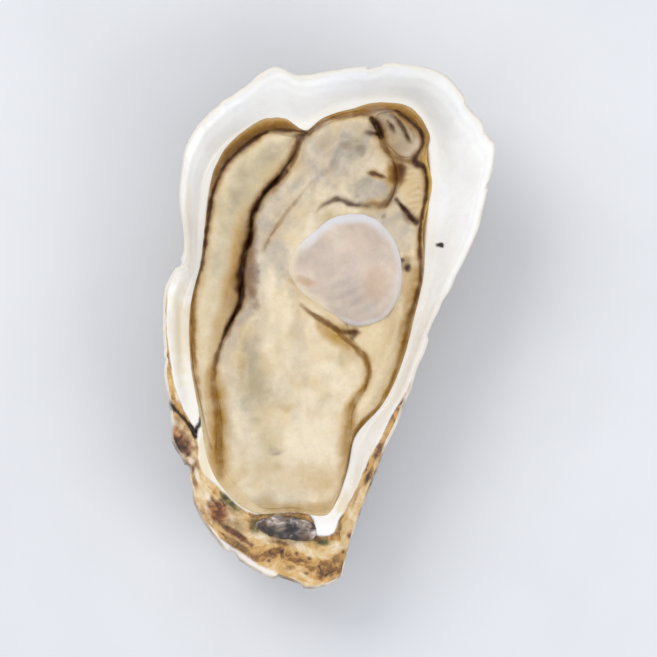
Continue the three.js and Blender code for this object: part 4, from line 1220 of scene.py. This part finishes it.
def gills():
    """The fold between the dark margins: its section is a low arch that leans on the left margin."""
    steps, around = 300, 72
    spine = smooth(GILL_SPINE, steps, closed=False)
    along = np.linspace(0, 1, steps)
    run = np.gradient(spine, axis=0)
    across = np.stack([-run[:, 1], run[:, 0], 0 * run[:, 0]], axis=1)
    across /= np.linalg.norm(across, axis=1)[:, None]
    inner, outer = gill_reach(spine)
    crest = GILL_CREST + 0.02 * spine[:, 1] - 1.5 * step(0.5, 1.0, along) - 0.6 * step(0.06, 0.0, along)
    turn = 2 * np.pi * np.arange(around) / around
    lift = np.sin(turn)
    arch = (1 - np.abs(np.cos(turn)) ** 2.6) ** 0.6
    rows = []
    for k in range(steps):
        reached = np.where(np.cos(turn) > 0, inner[k], outer[k]) * np.cos(turn)
        row = spine[k] + reached[:, None] * across[k]
        row[:, 2] = GILL_EDGE + np.where(lift > 0, (crest[k] - GILL_EDGE) * arch, GILL_DEPTH * lift)
        rows.append(row)
    points, faces = skin(rows, rows[0].mean(0), rows[-1].mean(0))
    marks = blank(points)
    gap, place, side = nearest(points, spine)
    half = np.where(side < 0, np.interp(place, along, outer), np.interp(place, along, inner))
    offset = gap * side / np.maximum(half, 0.3)
    top = points[:, 2] > GILL_EDGE + 0.05
    slow = points * [1, 0.4, 0]
    combs = np.sin(place * 520 + 2.5 * rough(points, 3, 3, seed=71))
    combs *= step(0.2, 0.5, rough(points, 7, 2, seed=73))
    ridge = np.exp(-(((offset + 0.15 + 0.2 * rough(slow, 8, 2, seed=74)) / 0.22) ** 2))
    lower = step(0.2, 0.5, place) * (1 - 0.7 * step(0.5, 0.75, place))
    wavy = offset + 0.3 * rough(slow, 5, 3, seed=75)
    folds = 0.13 * np.sin(wavy * 5.6 + 0.8) * mix(0.35, 1, lower)
    folds += 0.1 * rough(points * [1, 0.3, 0], 1.8, 3, seed=76)
    points[:, 2] += (0.012 * combs + 0.12 * ridge + folds + 0.16 * rough(slow, 3.5, 3, seed=72)) * top
    points = paint_meat(points, marks)
    tail = step(0.42, 0.6, place)
    # Towards the belly the fold turns tan and brown: its own ochre, with painted shade where the belly's edge
    # stands over it.
    inner_side = step(mix(0.15, -0.3, lower), mix(0.8, 0.3, lower), wavy)
    deepen(marks, "tan", inner_side * mix(0.3, 1, lower) * (1 - 0.25 * tail))
    fading = 1 - 0.85 * step(0.45, 0.75, place)
    deepen(marks, "brown", mix(0.15, 0.5, lower) * step(0.4, 1.0, wavy) * fading)
    greyed = mix(0.65, 0.4, step(0.12, 0.45, place)) * (1 - 0.85 * tail)
    deepen(marks, "grey", greyed * step(0.6, 0.1, np.abs(wavy + mix(0.05, 0.4, lower))))
    deepen(marks, "green", 0.22 * step(0.1, 0.7, rough(slow, 3.4, 3, seed=77)) * (1 - 0.7 * tail))
    deepen(marks, "tan", 0.35 * step(0.6, 1.0, -offset))
    material = flesh("gill_flesh", "#ddcdae", "#d3c097", grey="#a09580", tan="#a87c34")
    piece = make_mesh("gills", points, faces, marks, material)
    return dress(piece, "gill_fold")


def muscle():
    """The cut face of the muscle, with a pale crescent along its top and arcs of fibres below."""
    centre = middle_of(MUSCLE)

    def upper_left(p):
        return step(3, -5, p[:, 0] - 0.5 * p[:, 1])

    points, faces = dome(
        MUSCLE, 320, 80, centre,
        lambda p: MUSCLE_EDGE - 0.02 * p[:, 0] + 0.75 * upper_left(p),
        lambda p: MUSCLE_RISE - 0.65 * upper_left(p),
        6,
        shoulder=0.7,
    )
    marks = blank(points)
    inside = depth_in(points, smooth(MUSCLE, 120))
    top = points[:, 2] > MUSCLE_EDGE - 0.8
    level = points * [1, 1, 0]
    fibres = 0.03 * rough(points * [1, 0.25, 0], 0.9, 3, seed=81)
    points[:, 2] += (fibres - 0.35 * step(1, 9, inside) + 0.18 * rough(level, 5, 3, seed=82)) * top
    facing = np.degrees(bearing(points, centre))
    uneven = inside + 0.6 * rough(level, 4, 3, seed=83)
    crescent = step(2.3, 0.8, uneven) * step(20, 70, facing) * step(165, 135, facing)
    side = step(1.9, 0.4, uneven) * step(-45, -5, facing) * step(80, 40, facing)
    hem = step(1.0, 0.3, uneven) * step(-125, -95, facing) * step(20, -20, facing)
    marks["pale"] = np.maximum(np.maximum(0.8 * crescent, 0.5 * side), 0.35 * hem)
    low = step(0, -80, facing) * step(-170, -110, facing)
    marks["grey"] = 0.45 * step(-0.1, 0.6, rough(points * [1, 0.6, 0], 5, 3, seed=84)) * (1 - marks["pale"])
    deepen(marks, "grey", 0.5 * low * step(9, 3, inside))
    away = reach(points, centre + [-6, 8, 0])
    arcs = 0.5 + 0.5 * np.sin(away * 2 * np.pi / 2.3 + rough(level, 5, 2, seed=87))
    deepen(marks, "grey", low * mix(0.45, 0.75, arcs) * step(0.3, 1.2, inside))
    west = np.maximum(step(110, 150, facing), step(-100, -130, facing))
    marks["cream"] = step(2.0, 0.2, inside + 0.7 * rough(level, 3, 3, seed=85)) * west
    marks["tan"] = 0.2 * soft_spot(points, 9.4, 8.6, 3.2, 4)
    marks["tan"] += 0.4 * soft_spot(points, -5.4, 9.6, 3.2, 1.0, -14)
    material = flesh("muscle_flesh", "#d6c5b6", "#cbb6a5", grey="#a79b92", tan="#b3895b", cream="#dacbb0")
    piece = make_mesh("adductor_muscle_face", points, faces, marks, material)
    return dress(piece, "adductor_muscle")


def curl():
    centre = middle_of(CURL)
    points, faces = dome(CURL, 200, 50, centre, even(CURL_EDGE), even(CURL_RISE), 2.6, base=CURL_FOOT)
    marks = blank(points)
    points[:, 2] += 0.2 * rough(points, 3, 3, seed=86) * (points[:, 2] > CURL_EDGE - 0.3)
    points = paint_meat(points, marks)
    deepen(marks, "grey", 0.4)
    rim = depth_in(points, smooth(CURL, 90))
    deepen(marks, "pale", 0.6 * step(1.6, 0.3, rim) * step(13.5, 16.5, points[:, 0]))
    deepen(marks, "brown", 0.6 * step(0.5, 0.0, rim))
    material = flesh("curl_flesh", "#cdb899", "#b49a78", grey="#938674", pale="#dccbc2", green="#574a33")
    piece = make_mesh("mantle_curl_lobe", points, faces, marks, material)
    return dress(piece, "mantle_curl")


def ligament():
    """The dark glossy pad of the hinge, lumpy and with a ragged outline, and with painted highlights in pale
    patches.
    """
    centre = middle_of(LIGAMENT)
    points, faces = dome(LIGAMENT, 200, 50, centre, even(LIGAMENT_EDGE), even(LIGAMENT_RISE), 3)
    top = points[:, 2] > LIGAMENT_EDGE - 0.3
    points[:, :2] += flat(points - centre) * (0.2 * rough(points * [1, 1, 0], 3, 4, seed=90))[:, None]
    points[:, 2] += (0.7 * rough(points * [1, 1, 0], 2.8, 3, seed=91) - 0.1) * top
    paint = Paint("ligament", Roughness=0.32, Coat_Weight=0.7, Coat_Roughness=0.1)
    streak = paint.lumps(2.6, 2.5, stretch=(1.6, 1, 1), distortion=0.4)
    # The pale end of this ramp is painted highlights: glints on the wet pad.
    colour = paint.ramp(streak, (0.37, "#0e0c0c"), (0.46, "#372d29"), (0.56, "#8a7a70"), (0.66, "#e0d8d2"))
    brown = paint.ramp(paint.lumps(2.4, 3), (0.5, 0.0), (0.65, 0.6))
    colour = paint.blend(brown, colour, "#74502f")
    normal = paint.bump(paint.lumps(1.2, 4), 0.25)
    piece = make_mesh("hinge_pad", points, faces, {}, paint.finish(colour, normal))
    return dress(piece, "hinge_ligament")


def build():
    shell()
    mantle()
    gills()
    belly()
    muscle()
    curl()
    ligament()


# ---------------------------------------------------------------- floor, light and camera

# In metres: the lamps' size and the point they are aimed at, and the width of the picture at a height
# in the part.
LAMP_SIZE, TARGET = 0.6, (0, 0, 0.015)
VIEW_WIDTH, VIEW_HEIGHT = 0.131, 0.02


def stage():
    """A plain pale floor, three metres to each side in the same millimetres as the pieces."""
    paint = Paint("floor", Roughness=0.6)
    colour = paint.ramp(paint.lumps(60, 3), (0.4, "#d8d9dd"), (0.6, "#dcdde1"))
    material = paint.finish(colour, paint.bump(paint.lumps(1.5, 3), 0.02))
    places = np.linspace(-3000, 3000, 9)
    side = len(places)
    points = [(x, y, 0) for y in places for x in places]
    corners = [row * side + column for row in range(side - 1) for column in range(side - 1)]
    faces = [[k, k + 1, k + side + 1, k + side] for k in corners]
    floor = make_mesh("floor", points, faces, {}, material)


def lamp(name, place, watts, colour=(1, 1, 1)):
    light = bpy.data.lights.new(name, "AREA")
    light.shape = "DISK"
    light.size = LAMP_SIZE
    light.energy = watts
    light.color = colour
    holder = bpy.data.objects.new(name, light)
    holder.location = place
    aim = Vector(np.array(TARGET) - place)
    holder.rotation_euler = aim.to_track_quat("-Z", "Y").to_euler()
    bpy.context.scene.collection.objects.link(holder)


def lights():
    world = bpy.data.worlds.new("studio")
    world.use_nodes = True
    sky = world.node_tree.nodes["Background"]
    sky.inputs["Color"].default_value = (0.93, 0.96, 1.0, 1)
    sky.inputs["Strength"].default_value = 0.78
    bpy.context.scene.world = world
    lamp("key", (-0.45, 0.55, 0.7), 4.2, (1.0, 0.985, 0.96))
    lamp("fill", (0.7, -0.4, 0.6), 2.8)
    bpy.context.scene.view_settings.view_transform = "Standard"


def camera():
    """A long lens straight above the part, as in the photo."""
    lens = bpy.data.cameras.new("camera")
    lens.sensor_width = 36
    lens.lens = 200
    lens.clip_start, lens.clip_end = 0.05, 20
    holder = bpy.data.objects.new("camera", lens)
    holder.location = (0, 0, VIEW_HEIGHT + VIEW_WIDTH * lens.lens / lens.sensor_width)
    bpy.context.scene.collection.objects.link(holder)
    bpy.context.scene.camera = holder


build()
stage()
lights()
camera()
